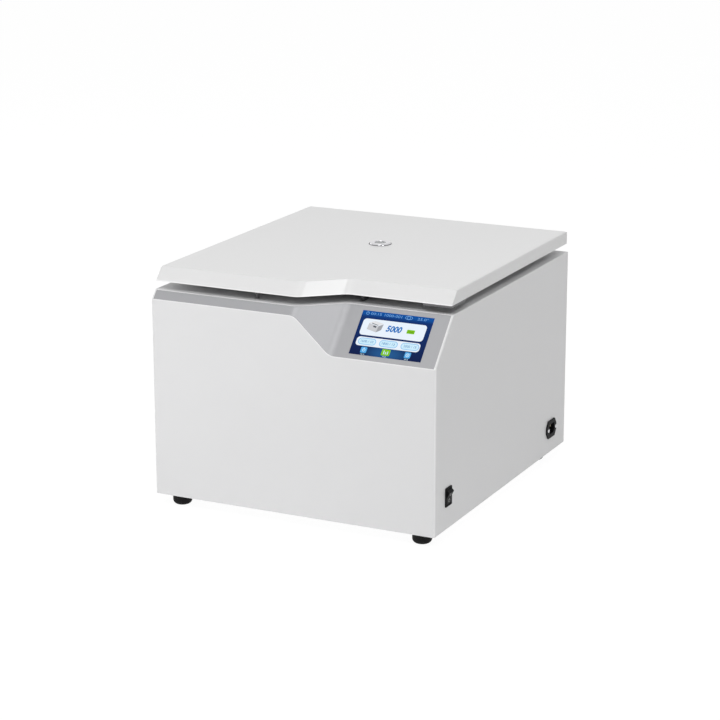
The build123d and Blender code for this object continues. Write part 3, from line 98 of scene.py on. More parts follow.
class Finish:
    # a new material, or world, and its nodes; surface() ends them in a Principled shader
    def __init__(self, name, among=bpy.data.materials):
        self.owner = among.new(name)
        self.owner.use_nodes = True
        self.tree = self.owner.node_tree
        self.tree.nodes.clear()

    def node(self, kind, settings=None, values=None, out=0):
        made = self.tree.nodes.new("ShaderNode" + kind)
        for key, value in (settings or {}).items():
            setattr(made, key, value)
        for key, value in (values or {}).items():
            if isinstance(value, Wire):
                self.tree.links.new(value.socket, made.inputs[key])
            else:
                made.inputs[key].default_value = value
        return Wire(self, made.outputs[out])

    def place(self):
        return self.node("TexCoord", out="Object")

    def axes(self, vector):
        x = self.node("SeparateXYZ", {}, {0: vector})
        return [x, *(Wire(self, x.socket.node.outputs[i]) for i in (1, 2))]

    def vector(self, x, y, z):
        return self.node("CombineXYZ", {}, {0: x, 1: y, 2: z})

    def noise(self, vector, scale, detail, rough=0.5):
        values = {"Vector": vector, "Scale": scale, "Detail": detail, "Roughness": rough}
        return self.node("TexNoise", {}, values)

    def mix(self, factor, first, second):
        first, second = (c if isinstance(c, Wire) else (*c, 1.0) for c in (first, second))
        return self.node("Mix", {"data_type": "RGBA"}, {0: factor, 6: first, 7: second}, out=2)

    def tint(self, factor, color, spread):
        # color scaled by 1 - spread at factor 0 and 1 + spread at factor 1
        low = [c * (1 - spread) for c in color]
        high = [min(1.0, c * (1 + spread)) for c in color]
        return self.mix(factor, low, high)

    def vary(self, factor, middle, span):
        # middle at factor 0.5, half the span below it at factor 0 and above it at factor 1
        return middle - span / 2 + factor * span

    def bump(self, height, strength, distance):
        values = {"Height": height, "Strength": strength, "Distance": distance}
        return self.node("Bump", {}, values)

    def surface(self, values):
        self.end(self.node("BsdfPrincipled", {}, values))
        return self.owner

    def end(self, shader, kind="OutputMaterial"):
        output = self.tree.nodes.new("ShaderNode" + kind)
        self.tree.links.new(shader.socket, output.inputs["Surface"])


# painted highlights on the front corners' bends and the console's lip
bendHighlightSettings = {
    "tangent": 0.2095 + 0.5 * 0.232,  # |x| + |y| / 2 at the centre of the front corners' bends
    "radius": 0.003,
    "from": 0.90,  # the painted highlight starts here, in parts of the radius
    "over": 0.15,  # and is full this much further out
    # colour of the painted highlight on the bends
    "lighter": (0.90, 0.90, 0.905),
    "lipBefore": -0.2325,  # the console's lip lies ahead of this
    "lipLean": 0.15,  # and leans back by more than this
    "lipSharp": 5.0,
    # colour of the painted highlight on the lip
    "lipLighter": (0.86, 0.86, 0.865),
}


def paintedBendHighlights(f, place, coat):
    # painted highlights: the front corners' bends and the console's lip coloured paler, as light
    # catching them
    x, y = f.axes(place)[:2]
    lean = f.axes(f.node("TexCoord", out="Normal"))[2] - bendHighlightSettings["lipLean"]
    reach = (abs(x) - y * 0.5 - bendHighlightSettings["tangent"]) / bendHighlightSettings["radius"]
    line = ((reach - bendHighlightSettings["from"]) / bendHighlightSettings["over"]).clamp()
    lip = (lean * bendHighlightSettings["lipSharp"]).clamp() * (y < bendHighlightSettings["lipBefore"])
    return f.mix(lip, f.mix(line, coat, bendHighlightSettings["lighter"]), bendHighlightSettings["lipLighter"])


# painted highlight along the lower edge of the lid's front
hemHighlightSettings = {
    "top": 0.3216,  # the line reaches up to here
    "soft": 0.0005,
    "facing": -0.3,  # on faces that look at least this far ahead
    # colour of the painted highlight
    "lighter": (0.90, 0.90, 0.90),
}


def paintedHemHighlight(f, place, coat):
    # painted highlight: a paler line along the lower edge of the lid's front, as light catching
    # that edge
    z = f.axes(place)[2]
    ahead = f.axes(f.node("TexCoord", out="Normal"))[1] < hemHighlightSettings["facing"]
    line = ((hemHighlightSettings["top"] - z) / hemHighlightSettings["soft"]).clamp() * ahead
    return f.mix(line, coat, hemHighlightSettings["lighter"])


def powderCoat(name, color, rough=0.36, grain=0.05, paintedHighlight=None):
    # satin coat: fine orange peel as noise bump, a faint cloud in colour and gloss, and painted
    # highlights when a function for them is given
    f = Finish(name)
    place = f.place()
    cloud = f.noise(place, scale=7.0, detail=3.0)
    peel = f.noise(place, scale=1100.0, detail=2.0)
    coat = f.tint(cloud, color, spread=0.012)
    return f.surface({
        "Base Color": paintedHighlight(f, place, coat) if paintedHighlight else coat,
        "Roughness": f.vary(cloud, rough, span=0.06),
        "Normal": f.bump(peel, grain, distance=0.0003),
        "IOR": 1.5,
    })


def silverOverlay(name, color):
    # printed silver film: metallic flakes as small bright cells over a grey ground
    f = Finish(name)
    place = f.place()
    flake = f.noise(place, scale=2600.0, detail=1.0)
    cloud = f.noise(place, scale=9.0, detail=2.0)
    return f.surface({
        "Base Color": f.tint(flake, color, spread=0.07),
        "Metallic": 0.25,
        "Roughness": 0.40 + cloud * 0.05 + flake * 0.04,
        "Normal": f.bump(flake, strength=0.05, distance=0.0001),
    })


def mouldedPlastic(name, color, rough=0.42, grain=0.12, ior=1.48):
    # spark-eroded mould grain in the bump, broad faint wear in colour and gloss
    f = Finish(name)
    place = f.place()
    erosion = f.noise(place, scale=1800.0, detail=3.0)
    wear = f.noise(place, scale=40.0, detail=3.0)
    return f.surface({
        "Base Color": f.tint(wear, color, spread=0.08),
        "Roughness": f.vary(wear, rough, span=0.1),
        "IOR": ior,
        "Normal": f.bump(erosion, grain, distance=0.0002),
    })


def rubberSkin(name, color, rough=0.7):
    # matt rubber: coarse bump and a little dust in its colour
    f = Finish(name)
    place = f.place()
    dust = f.noise(place, scale=160.0, detail=5.0, rough=0.65)
    skin = f.noise(place, scale=1500.0, detail=2.0)
    return f.surface({
        "Base Color": f.tint(dust, color, spread=0.3),
        "Roughness": f.vary(dust, rough, span=0.12),
        "Specular IOR Level": 0.2,
        "Normal": f.bump(skin, strength=0.2, distance=0.0002),
    })


def brushedAlong(name, color, stretch, rough):
    # streaks: noise on coordinates squeezed along the brushing direction
    f = Finish(name)
    x, y, z = f.axes(f.place())
    squeezed = f.vector(x * stretch[0], y * stretch[1], z * stretch[2])
    streak = f.noise(squeezed, scale=1.0, detail=3.0)
    return f.surface({
        "Base Color": f.tint(streak, color, spread=0.08),
        "Metallic": 1.0,
        "Roughness": f.vary(streak, rough, span=0.12),
        "Normal": f.bump(streak, strength=0.12, distance=0.0001),
    })


def fromRotorAxis(f, x, y):
    # x and y as seen from the rotor's axis
    return x - layout["chamber"][0], y - layout["chamber"][1]


def turned(name, color, rough, rings=1500.0):
    # lathe marks: noise on distance from the axis and height, nearly constant round it
    f = Finish(name)
    x, y, z = f.axes(f.place())
    dx, dy = fromRotorAxis(f, x, y)
    radius = (dx * dx + dy * dy) ** 0.5
    around = dx / (radius + 0.001)  # the small addition keeps the axis itself defined
    marks = f.noise(f.vector(radius * rings, z * rings, around * 1.5), scale=1.0, detail=3.0)
    return f.surface({
        "Base Color": f.tint(marks, color, spread=0.06),
        "Metallic": 1.0,
        "Roughness": f.vary(marks, rough, span=0.1),
        "Normal": f.bump(marks, strength=0.1, distance=0.0001),
    })


def zincSheet(name, color):
    # zinc plating: cells of slightly different brightness and gloss
    f = Finish(name)
    place = f.place()
    cells = f.node("TexVoronoi", {}, {"Vector": place, "Scale": 90.0}, out="Color")
    grey = f.node("RGBToBW", {}, {0: cells})
    fine = f.noise(place, scale=900.0, detail=3.0)
    return f.surface({
        "Base Color": f.tint(grey, color, spread=0.1),
        "Metallic": 0.9,
        "Roughness": 0.32 + grey * 0.12 + fine * 0.05,
        "Normal": f.bump(fine, strength=0.05, distance=0.0002),
    })


def polished(name, color, rough):
    # bright plating with hairline scratches that only touch its gloss
    f = Finish(name)
    hair = f.noise(f.place(), scale=700.0, detail=6.0, rough=0.7)
    return f.surface({
        "Base Color": f.tint(hair, color, spread=0.02),
        "Metallic": 1.0,
        "Roughness": rough + hair * 0.06,
    })


def clearSheet(name, color):
    # clear plastic with wiping smears in its gloss
    f = Finish(name)
    smear = f.noise(f.place(), scale=60.0, detail=3.0)
    return f.surface({
        "Base Color": (*color, 1.0),
        "Roughness": 0.02 + smear * 0.04,
        "Transmission Weight": 0.9,
        "IOR": 1.49,
    })


boardSettings = {
    "joints": {"Scale": 160.0, "Mortar Size": 0.06, "Mortar Smooth": 0.2},
    "padScale": 260.0,
    "padSize": 0.16,
    "partsAbove": 0.031,  # the soldered parts stand above this height
    "track": (0.02, 0.16, 0.06),
    "mask": (0.012, 0.09, 0.035),
    "pad": (0.55, 0.5, 0.35),
    "parts": (0.03, 0.05, 0.10),
}


def circuitBoard(name):
    # green mask with lighter tracks along the joints of a brick pattern, pads as small cells
    f = Finish(name)
    place = f.place()
    z = f.axes(place)[2]
    bricks = f.node("TexBrick", {}, {
        "Vector": place, "Color1": (1, 1, 1, 1), "Color2": (0.9, 0.9, 0.9, 1),
        "Mortar": (0, 0, 0, 1), **boardSettings["joints"],
    })
    cells = f.node("TexVoronoi", {}, {"Vector": place, "Scale": boardSettings["padScale"]},
                   out="Distance")
    green = f.mix(bricks, boardSettings["track"], boardSettings["mask"])
    ground = f.mix(cells < boardSettings["padSize"], green, boardSettings["pad"])
    tall = z > boardSettings["partsAbove"]
    return f.surface({
        "Base Color": f.mix(tall, ground, boardSettings["parts"]),
        "Roughness": 0.35 + tall * 0.2,
        "Normal": f.bump(bricks, strength=0.1, distance=0.0001),
    })


windingSettings = {
    "wires": 90.0,  # waves round the axis
    "sheets": 9000.0,  # radians of wave to the metre of height
    "stackMiddle": 0.099,
    "stackHalf": 0.015,
    "copper": ((0.22, 0.08, 0.03), (0.62, 0.30, 0.14)),
    "iron": ((0.12, 0.12, 0.13), (0.3, 0.3, 0.31)),
}


def copperWinding(name):
    # wires as waves round the axis on the coil heads, dark laminations between them
    f = Finish(name)
    x, y, z = f.axes(f.place())
    dx, dy = fromRotorAxis(f, x, y)
    angle = f.node("Math", {"operation": "ARCTAN2"}, {0: dy, 1: dx})
    wires = ((angle * windingSettings["wires"]).math("SINE") * 0.5 + 0.5).clamp()
    sheets = ((z * windingSettings["sheets"]).math("SINE") * 0.5 + 0.5).clamp()
    inStack = abs(z - windingSettings["stackMiddle"]) < windingSettings["stackHalf"]
    copper = f.mix(wires, *windingSettings["copper"])
    iron = f.mix(sheets, *windingSettings["iron"])
    return f.surface({
        "Base Color": f.mix(inStack, copper, iron),
        "Metallic": 0.8,
        "Roughness": 0.4 + wires * 0.1,
        "Normal": f.bump(wires, strength=0.4, distance=0.0008),
    })


def linear(shown):
    # a colour as the screen shows it, 0 to 255, turned into linear light
    part = np.array(shown) / 255.0
    return tuple(np.where(part > 0.04045, ((part + 0.055) / 1.055) ** 2.4, part / 12.92))


def litScreen(f, shown):
    # light from a display: black ground, the colour given off, thin gloss over it
    return f.surface({
        "Base Color": (0.004, 0.004, 0.005, 1.0),
        "Roughness": 0.15,
        "Specular IOR Level": 0.04,
        "Emission Color": shown,
        "Emission Strength": 1.0,
    })


def litColor(name, shown):
    # one display colour with the faint unevenness of a backlight
    f = Finish(name)
    backlight = f.noise(f.place(), scale=90.0, detail=1.0)
    return litScreen(f, f.tint(backlight, linear(shown), spread=0.03))


screenSettings = {
    "left": 0.0843,  # metres
    "low": 0.0086,  # metres up the slope from the console's foot line
    "groundLow": (4, 26, 74),
    "groundHigh": (6, 46, 108),
    "glowColor": (32, 88, 144),
    "glowAt": (53.0, 5.5),  # millimetres from the screen's lower left corner, as those below
    "glowSize": (34.0, 13.0),
    "barColor": (4, 78, 156),
    "barFrom": 56.6,
    "barOver": 5.0,
}


def litGround(name):
    # dark blue rising to a lighter title bar, with a soft glow behind the lower icons
    f = Finish(name)
    x, z = f.axes(f.place())[::2]
    rise = (z - layout["consoleFootZ"]) / math.sin(layout["slope"])
    u = (x - screenSettings["left"]) * 1000.0
    v = (rise - screenSettings["low"]) * 1000.0
    across = (u - screenSettings["glowAt"][0]) / screenSettings["glowSize"][0]
    above = (v - screenSettings["glowAt"][1]) / screenSettings["glowSize"][1]
    glow = (1.0 - across * across - above * above).clamp()
    bar = ((v - screenSettings["barFrom"]) / screenSettings["barOver"]).clamp()
    low, high = linear(screenSettings["groundLow"]), linear(screenSettings["groundHigh"])
    ground = f.mix((v / screenSettings["barFrom"]).clamp(), low, high)
    lit = f.mix(glow, ground, linear(screenSettings["glowColor"]))
    return litScreen(f, f.mix(bar, lit, linear(screenSettings["barColor"])))


# one finish for each material slot of the record
finishes = {
    # the cabinet's and the lid's coats carry painted highlights along their edges
    "cabinet_paint": powderCoat("cabinetPaint", (0.76, 0.76, 0.765), paintedHighlight=paintedBendHighlights),
    "lid_paint": powderCoat("lidPaint", (0.77, 0.77, 0.77), rough=0.30, grain=0.03, paintedHighlight=paintedHemHighlight),
    "fascia_silver": silverOverlay("fasciaSilver", (0.360, 0.361, 0.374)),
    "dark_module": mouldedPlastic("moduleBlack", (0.04, 0.04, 0.044)),
    "black_plastic": mouldedPlastic("mouldedBlack", (0.009, 0.009, 0.010), ior=1.12),
    "rubber": rubberSkin("footRubber", (0.007, 0.007, 0.007)),
    "seal_rubber": rubberSkin("sealRubber", (0.09, 0.09, 0.095), rough=0.6),
    "stainless": turned("spunStainless", (0.60, 0.60, 0.62), rough=0.3, rings=1100.0),
    "zinc_steel": zincSheet("zincSheet", (0.58, 0.58, 0.59)),
    "screw_steel": polished("screwNickel", (0.72, 0.72, 0.73), rough=0.18),
    "chrome_ring": polished("portChrome", (0.62, 0.62, 0.64), rough=0.08),
    "clear_window": clearSheet("portWindow", (0.50, 0.53, 0.55)),
    "rotor_aluminium": turned("rotorAnodised", (0.60, 0.61, 0.64), rough=0.3),
    "bucket_steel": brushedAlong("bucketSteel", (0.66, 0.66, 0.68),
                                 stretch=(900, 900, 60), rough=0.26),
    "adapter_plastic": mouldedPlastic("adapterBlue", (0.05, 0.19, 0.50), rough=0.35, grain=0.05),
    "liner_plastic": mouldedPlastic("linerGrey", (0.66, 0.66, 0.67), rough=0.45, grain=0.06),
    "motor_paint": powderCoat("motorPaint", (0.03, 0.03, 0.032), rough=0.4, grain=0.1),
    "winding": copperWinding("windings"),
    "magnet": turned("groundMagnet", (0.25, 0.25, 0.27), rough=0.35),
    "board": circuitBoard("circuitBoard"),
    "brass_pins": brushedAlong("contactBrass", (0.30, 0.27, 0.20),
                               stretch=(40, 900, 900), rough=0.35),
    "screen": litGround("screenGround"),
}
# nodes in the gap under the lid that differ from their slot: painted shade, dark greys for the pad,
# strikers and pin and a coat a little darker than the cabinet's for the deck, so they look shaded
# in the gap
gapShadeFinishes = {
    "lid_corner_pad": mouldedPlastic("padGrey", (0.13, 0.13, 0.135), rough=0.5),
    "lid_strikers": mouldedPlastic("strikerGrey", (0.14, 0.14, 0.145), rough=0.35),
    "lid_sensor_pin": mouldedPlastic("pinGrey", (0.10, 0.10, 0.105), rough=0.35),
    "top_deck": powderCoat("deckPaint", (0.68, 0.68, 0.685), rough=0.42),
}
for row in frame["record"]["subparts"]:
    node = nodes[row["node"]]
    node.data.materials.clear()
    node.data.materials.append(gapShadeFinishes.get(row["node"], finishes[row["material_slot"]]))
print("materials:", len(finishes) + len(gapShadeFinishes))

# smooth shading on the CAD nodes: loose triangles welded, split again at real edges
shadingSettings = {
    "weld": 2e-6,
    "split": math.radians(28),
    "evenness": 100,
    "rounded": {"lid_shell": 0.0008},  # nodes whose edges are rounded, and how wide
    "roundedSegments": 3,
    "roundedFrom": math.radians(35),
}
for name, node in nodes.items():
    node.data.polygons.foreach_set("use_smooth", np.ones(len(node.data.polygons), dtype=bool))
    weld = node.modifiers.new("weld", "WELD")
    weld.merge_threshold = shadingSettings["weld"]
    if name in shadingSettings["rounded"]:
        rounded = node.modifiers.new("rounded", "BEVEL")
        rounded.width = shadingSettings["rounded"][name]
        rounded.segments = shadingSettings["roundedSegments"]
        rounded.limit_method = "ANGLE"
        rounded.angle_limit = shadingSettings["roundedFrom"]
    split = node.modifiers.new("edges", "EDGE_SPLIT")
    split.split_angle = shadingSettings["split"]
    split.use_edge_sharp = False
    even = node.modifiers.new("normals", "WEIGHTED_NORMAL")
    even.weight = shadingSettings["evenness"]
print("smooth shading:", len(nodes), "nodes")


def wrapQuads(rings, around, closed=False):
    # quads from each ring of points to the next, every ring wrapped round on itself
    last = rings if closed else rings - 1
    i, j = np.meshgrid(np.arange(last), np.arange(around), indexing="ij")
    here, there = i * around, (i + 1) % rings * around
    nextPoint = (j + 1) % around
    corners = [here + j, here + nextPoint, there + nextPoint, there + j]
    return np.stack(corners, -1).reshape(-1, 4).tolist()


def turnedShape(rings, heights):
    # rings is (profile, around, 2) flat points, each ring lifted by its heights; flat caps close it
    count, around = rings.shape[:2]
    lift = np.broadcast_to(heights, rings.shape[:2])[..., None]
    points = np.concatenate([rings, lift], -1).reshape(-1, 3)
    caps = [list(range(around)), list(range((count - 1) * around, count * around))]
    return points, wrapQuads(count, around) + caps


def prism(outline, low, high):
    # flat outline swept from one height to another
    return turnedShape(np.stack([outline, outline]), np.array([[low], [high]]))


def circles(radii, around):
    # points (r cos a, r sin a) for each radius
    angle = np.linspace(0, 2 * np.pi, around, endpoint=False)
    return np.array(radii)[:, None, None] * np.stack([np.cos(angle), np.sin(angle)], -1)


def ringShape(radius, wire, around=96, sides=12):
    # torus ((R + w cos b) cos a, (R + w cos b) sin a, w sin b), a round it, b round its section
    a = np.linspace(0, 2 * np.pi, around, endpoint=False)[:, None]
    b = np.linspace(0, 2 * np.pi, sides, endpoint=False)[None, :]
    out = radius + wire * np.cos(b)
    points = np.stack([out * np.cos(a), out * np.sin(a), wire * np.sin(b) + 0 * a], -1)
    return points.reshape(-1, 3), wrapQuads(around, sides, closed=True)


def rodShape(length, wire, sides=12):
    # rod on z with round ends: radius w cos t at height w sin t beyond each end's centre
    t = np.radians([-80, -50, -25, 0, 0, 25, 50, 80])
    centre = np.repeat([-1, 1], len(t) // 2) * (length / 2 - wire)
    return turnedShape(circles(wire * np.cos(t), sides), (centre + wire * np.sin(t))[:, None])


def placed(shape, origin, outward, along):
    # shape with its z turned to outward and its x to along, moved to origin
    outward = np.array(outward, dtype=float)
    along = np.array(along, dtype=float)
    turn = np.stack([along, np.cross(outward, along), outward])
    return shape[0] @ turn + np.array(origin), shape[1]


def addPiece(name, shapes, finish, body, sharp=32):
    # one object of several closed shapes, its normals turned outwards, sharp past so many degrees
    starts = np.cumsum([0] + [len(points) for points, quads in shapes])
    faces = []
    for start, (points, quads) in zip(starts, shapes):
        faces += [[start + corner for corner in quad] for quad in quads]
    mesh = bpy.data.meshes.new(name)
    mesh.from_pydata(np.concatenate([points for points, quads in shapes]).tolist(), [], faces)
    outward = bmesh.new()
    outward.from_mesh(mesh)
    bmesh.ops.recalc_face_normals(outward, faces=outward.faces)
    outward.to_mesh(mesh)
    outward.free()
    mesh.polygons.foreach_set("use_smooth", np.ones(len(mesh.polygons), dtype=bool))
    mesh.materials.append(finish)
    piece = bpy.data.objects.new(name, mesh)
    scene.collection.objects.link(piece)
    split = piece.modifiers.new("edges", "EDGE_SPLIT")
    split.split_angle = math.radians(sharp)
    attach(piece, body)
    return piece


# the display's picture: flat tiles a few hundredths of a millimetre over the glass,
# u from the screen's left and v up the slope, both in millimetres
slopeUp = np.array([0.0, math.cos(layout["slope"]), math.sin(layout["slope"])])
slopeOut = np.array([0.0, -math.sin(layout["slope"]), math.cos(layout["slope"])])
consoleFoot = np.array([screenSettings["left"], layout["frontY"], layout["consoleFootZ"]])
screenCorner = consoleFoot + screenSettings["low"] * slopeUp
tileSettings = {
    "glass": -0.0669,  # the glass's height off the console's face
    "start": 0.004,  # a tile's underside above the glass
    "step": 0.024,  # what each layer adds to a tile's top
    "lean": 0.025,
    "leanFrom": 60.0,  # the height that stays where it is
    "cornerPoints": 7,
    "hoopPoints": 28,
    "fontCurve": 3,
}


def tileHeights(layer):
    # a tile's underside and top
    return (tileSettings["glass"] + tileSettings["start"],
            tileSettings["glass"] + tileSettings["step"] * layer)


def setOnGlass(shape):
    # tile in millimetres (u, v, height), leant as the photo's picture is, set on the glass
    points, faces = shape
    lean = (points[:, 1:2] - tileSettings["leanFrom"]) * tileSettings["lean"]
    leant = points + lean * np.array([1, 0, 0])
    return placed((leant / 1000, faces), screenCorner, slopeOut, (1, 0, 0))


def flatTile(outline, layer):
    # prism over a flat outline, standing on the glass as high as its layer
    return setOnGlass(prism(np.array(outline, dtype=float), *tileHeights(layer)))


def roundTile(box, radius, layer):
    # rectangle with quarter-circle corners, drawn as one outline
    left, low, right, high = box
    quarter = np.linspace(0, np.pi / 2, tileSettings["cornerPoints"])
    centres = [(right - radius, high - radius), (left + radius, high - radius),
               (left + radius, low + radius), (right - radius, low + radius)]
    arcs = []
    for (x, y), turn in zip(centres, np.arange(4) * np.pi / 2):
        arcs.append(np.stack([x + radius * np.cos(quarter + turn),
                              y + radius * np.sin(quarter + turn)], -1))
    return flatTile(np.concatenate(arcs), layer)


def hoopTile(centre, size, width, layer):
    # flat elliptical ring: outer and inner ellipse at two heights, joined all round
    around = tileSettings["hoopPoints"]
    low, high = tileHeights(layer)
    unit = circles([1.0], around)[0]
    outer = unit * np.array(size) / 2 + np.array(centre)
    inner = unit * (np.array(size) / 2 - width) + np.array(centre)
    section = ((outer, low), (outer, high), (inner, high), (inner, low))
    points = [np.column_stack([flat, np.full(around, z)]) for flat, z in section]
    return setOnGlass((np.concatenate(points), wrapQuads(4, around, closed=True)))


def wordTile(words, box, layer, shear=0.0, weight=0.0):
    # figures from the built-in font, made a mesh and fitted into the box
    curve = bpy.data.curves.new("figures", "FONT")
    curve.body = words
    curve.shear = shear
    curve.offset = weight
    curve.extrude = 0.1  # any thickness, because the fit below sets it
    curve.resolution_u = tileSettings["fontCurve"]
    holder = bpy.data.objects.new("figures", curve)
    mesh = bpy.data.meshes.new_from_object(holder)
    points = np.empty(len(mesh.vertices) * 3)
    mesh.vertices.foreach_get("co", points)
    points = points.reshape(-1, 3)
    faces = [list(face.vertices) for face in mesh.polygons]
    bpy.data.objects.remove(holder)
    bpy.data.curves.remove(curve)
    bpy.data.meshes.remove(mesh)
    left, under, right, over = box
    base, top = tileHeights(layer)
    part = (points - points.min(0)) / (points.max(0) - points.min(0))
    size = np.array([right - left, over - under, top - base])
    return setOnGlass((np.array([left, under, base]) + part * size, faces))


def inset(box, margins):
    # a box with its left, low, right and high sides moved in
    return np.array(box) + np.array(margins) * (1, 1, -1, -1)


pillSettings = {
    "boxes": [(8.6, 15.3, 34.4, 25.3), (39.2, 15.3, 65.6, 25.3), (70.3, 15.3, 96.4, 25.3)],
    "figures": ["1600 / 10", "1800 / 12", "2000 / 15"],
    "rim": (0.9, 0.9, 0.9, 0.9),
    "margins": (4.0, 3.4, 4.0, 3.2),
}
pillBoxes = pillSettings["boxes"]
drawnAt = np.array([14.0, 35.0])  # lower left corner of the small drawing
# a tile's box is left, low, right, high, and its last plain number is its layer
display = {
    "panels": {
        "color": (233, 242, 252),
        "tiles": [
            roundTile((5.8, 29.5, 97.6, 54.2), 4.5, 1),
            roundTile((5.8, 13.5, 97.6, 26.8), 4.5, 1),
        ],
    },
    "pillRims": {
        "color": (128, 190, 238),
        "tiles": [roundTile(box, 4.9, 2) for box in pillBoxes],
    },
    "pillFaces": {
        "color": (204, 236, 251),
        "tiles": [roundTile(inset(box, pillSettings["rim"]), 4.0, 3) for box in pillBoxes],
    },
    "pillFigures": {
        "color": (62, 128, 190),
        "tiles": [wordTile(words, inset(box, pillSettings["margins"]), 4)
                  for words, box in zip(pillSettings["figures"], pillBoxes)],
    },
    "speed": {
        "color": (22, 112, 190),
        "tiles": [wordTile("5000", (41.6, 38.0, 64.2, 47.6), 2, shear=0.22, weight=0.035)],
    },
    "tag": {
        "color": (128, 196, 12),
        "tiles": [
            roundTile((71.6, 39.0, 82.8, 44.8), 0.8, 2),
            roundTile((46.8, 2.9, 59.0, 12.4), 1.6, 1),
        ],
    },
    "tagFigures": {
        "color": (62, 112, 20),
        "tiles": [wordTile("1/min", (73.0, 40.2, 81.6, 43.6), 3)],
    },
    "icons": {
        "color": (82, 168, 230),
        "tiles": [
            roundTile((16.6, 3.2, 25.4, 12.0), 1.6, 1),
            roundTile((79.9, 3.2, 88.6, 12.1), 1.6, 1),
        ],
    },
    "iconMarks": {
        "color": (206, 236, 250),
        "tiles": [
            hoopTile((21.0, 7.6), (4.6, 4.6), 0.7, 2),
            roundTile((20.6, 7.4, 21.4, 11.0), 0.3, 2),
            hoopTile((84.2, 7.7), (5.4, 5.4), 0.9, 2),
            hoopTile((84.2, 7.7), (1.8, 1.8), 0.6, 2),
            roundTile((49.6, 4.9, 50.8, 10.4), 0.4, 2),
            roundTile((52.3, 4.9, 53.5, 8.6), 0.4, 2),
            roundTile((55.0, 4.9, 56.2, 9.6), 0.4, 2),
            wordTile("01", (18.4, 0.4, 23.6, 2.2), 1),
            wordTile("02", (50.4, 0.4, 55.4, 2.2), 1),
            wordTile("03", (81.6, 0.4, 86.8, 2.2), 1),
        ],
    },
    "barFigures": {
        "color": (112, 166, 222),
        "tiles": [
            hoopTile((8.0, 62.2), (4.8, 4.8), 0.6, 1),
            roundTile((7.7, 62.0, 8.3, 63.8), 0.2, 1),
            wordTile("00:15", (12.6, 60.4, 28.2, 64.0), 1),
            wordTile("1000-001", (32.8, 60.2, 57.8, 64.0), 1),
            hoopTile((67.9, 62.1), (11.0, 5.6), 0.7, 1),
            hoopTile((67.9, 62.1), (5.0, 5.0), 0.6, 1),
            wordTile("25.0°", (80.4, 60.2, 96.0, 64.0), 1),
        ],
    },
    "drawnLid": {
        "color": (226, 227, 230),
        "tiles": [flatTile(drawnAt + [(1.0, 13.5), (15.6, 10.4), (22.0, 14.0), (8.6, 16.6)], 3)],
    },
    "drawnFront": {
        "color": (203, 204, 208),
        "tiles": [flatTile(drawnAt + [(0.4, 3.6), (14.8, 0.2), (15.6, 9.6), (1.0, 12.8)], 3)],
    },
    "drawnSide": {
        "color": (160, 162, 167),
        "tiles": [flatTile(drawnAt + [(14.8, 0.2), (21.0, 4.4), (22.0, 13.2), (15.6, 9.6)], 3)],
    },
    "drawnSlot": {
        "color": (84, 88, 96),
        "tiles": [
            flatTile(drawnAt + [(4.8, 12.6), (14.6, 10.5), (15.0, 11.2), (5.2, 13.3)], 4),
            flatTile(drawnAt + [(8.2, 7.6), (12.8, 6.6), (12.9, 9.0), (8.3, 9.9)], 4),
        ],
    },
}
for part, row in display.items():
    addPiece("display_" + part, row["tiles"], litColor(part, row["color"]), "cabinet")
print("display tiles:", len(display))


# lengths in parts of the head's radius, heights in parts of its height
screwSettings = {
    "around": 48,
    "rings": [*np.linspace(0.03, 0.76, 14), 0.84, 0.92, 0.97, 1.0],
    "slotReach": 0.64,
    "slotHalf": 0.17,
    "slotTaper": 0.45,
    "slotWall": 0.05,
    "slotEnd": 0.08,
    "slotDepth": 0.75,
    "drop": 0.42,  # how far the dome falls to its rim
    "twist": 2.4,  # radians from one screw's slot to the next one's
}


def crossHead(radius, height, shankRadius, shankLength):
    # pan head: height h (1 - drop (r/R)^3) less a cross that is deep where |x| or |y| is small
    cut = screwSettings
    out = np.array(cut["rings"])
    rings = circles(radius * out, cut["around"])
    x, y = np.abs(rings[..., 0]) / radius, np.abs(rings[..., 1]) / radius
    along, across = np.maximum(x, y), np.minimum(x, y)
    taper = cut["slotHalf"] * (1 - cut["slotTaper"] * along / cut["slotReach"])
    wall = np.clip((taper - across) / cut["slotWall"], 0, 1)
    cross = wall * np.clip((cut["slotReach"] - along) / cut["slotEnd"], 0, 1)
    top = height * (1 - cut["drop"] * out**3)[:, None] * (1 - cut["slotDepth"] * cross)
    under = circles([radius, shankRadius, shankRadius], cut["around"])
    low = np.zeros((3, cut["around"])) + np.array([[0.0], [0.0], [-shankLength]])
    return turnedShape(np.concatenate([rings, under]), np.concatenate([top, low]))


def turnedAbout(outward, first, count):
    # a different turn for each screw's slot, as hand-driven screws stand
    first, outward = np.array(first, dtype=float), np.array(outward, dtype=float)
    side = np.cross(outward, first)
    angles = [screwSettings["twist"] * k for k in range(count)]
    return [first * math.cos(angle) + side * math.sin(angle) for angle in angles]


def addScrews(name, node, body, head, places, outward, first):
    # cross-recess screws for a node of plain ones
    shape = crossHead(**head)
    turns = turnedAbout(outward, first, len(places))
    shapes = [placed(shape, place, outward, turn) for place, turn in zip(places, turns)]
    piece = addPiece(name, shapes, finishes["screw_steel"], body)
    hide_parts(node)


# where the plain screws of the CAD nodes stand
screwPlaces = {
    "rearX": 0.2035,
    "rearZ": (0.04104, 0.12168, 0.20232, 0.28296),
    "fanPitch": 0.04125,  # across and up from the fan's axis
    "fanFlange": 0.002,
    "lidX": 0.1968,
    "lidY": (-0.106, -0.006, 0.094, 0.194),
    "lidBack": (0.085, 0.222),
    "hinge": (0.130, 0.213),
    "hingeSteps": (-0.018, 0, 0.018),
    "hingeLeaf": 0.002,
    "inletPitch": 0.014,
}
fanX, fanY, fanZ = layout["fan"]
fanPitch = screwPlaces["fanPitch"]
lidZ = layout["lidZ"]
inletX, inletY, inletZ = layout["inlet"]
bothSides = (-1, 1)

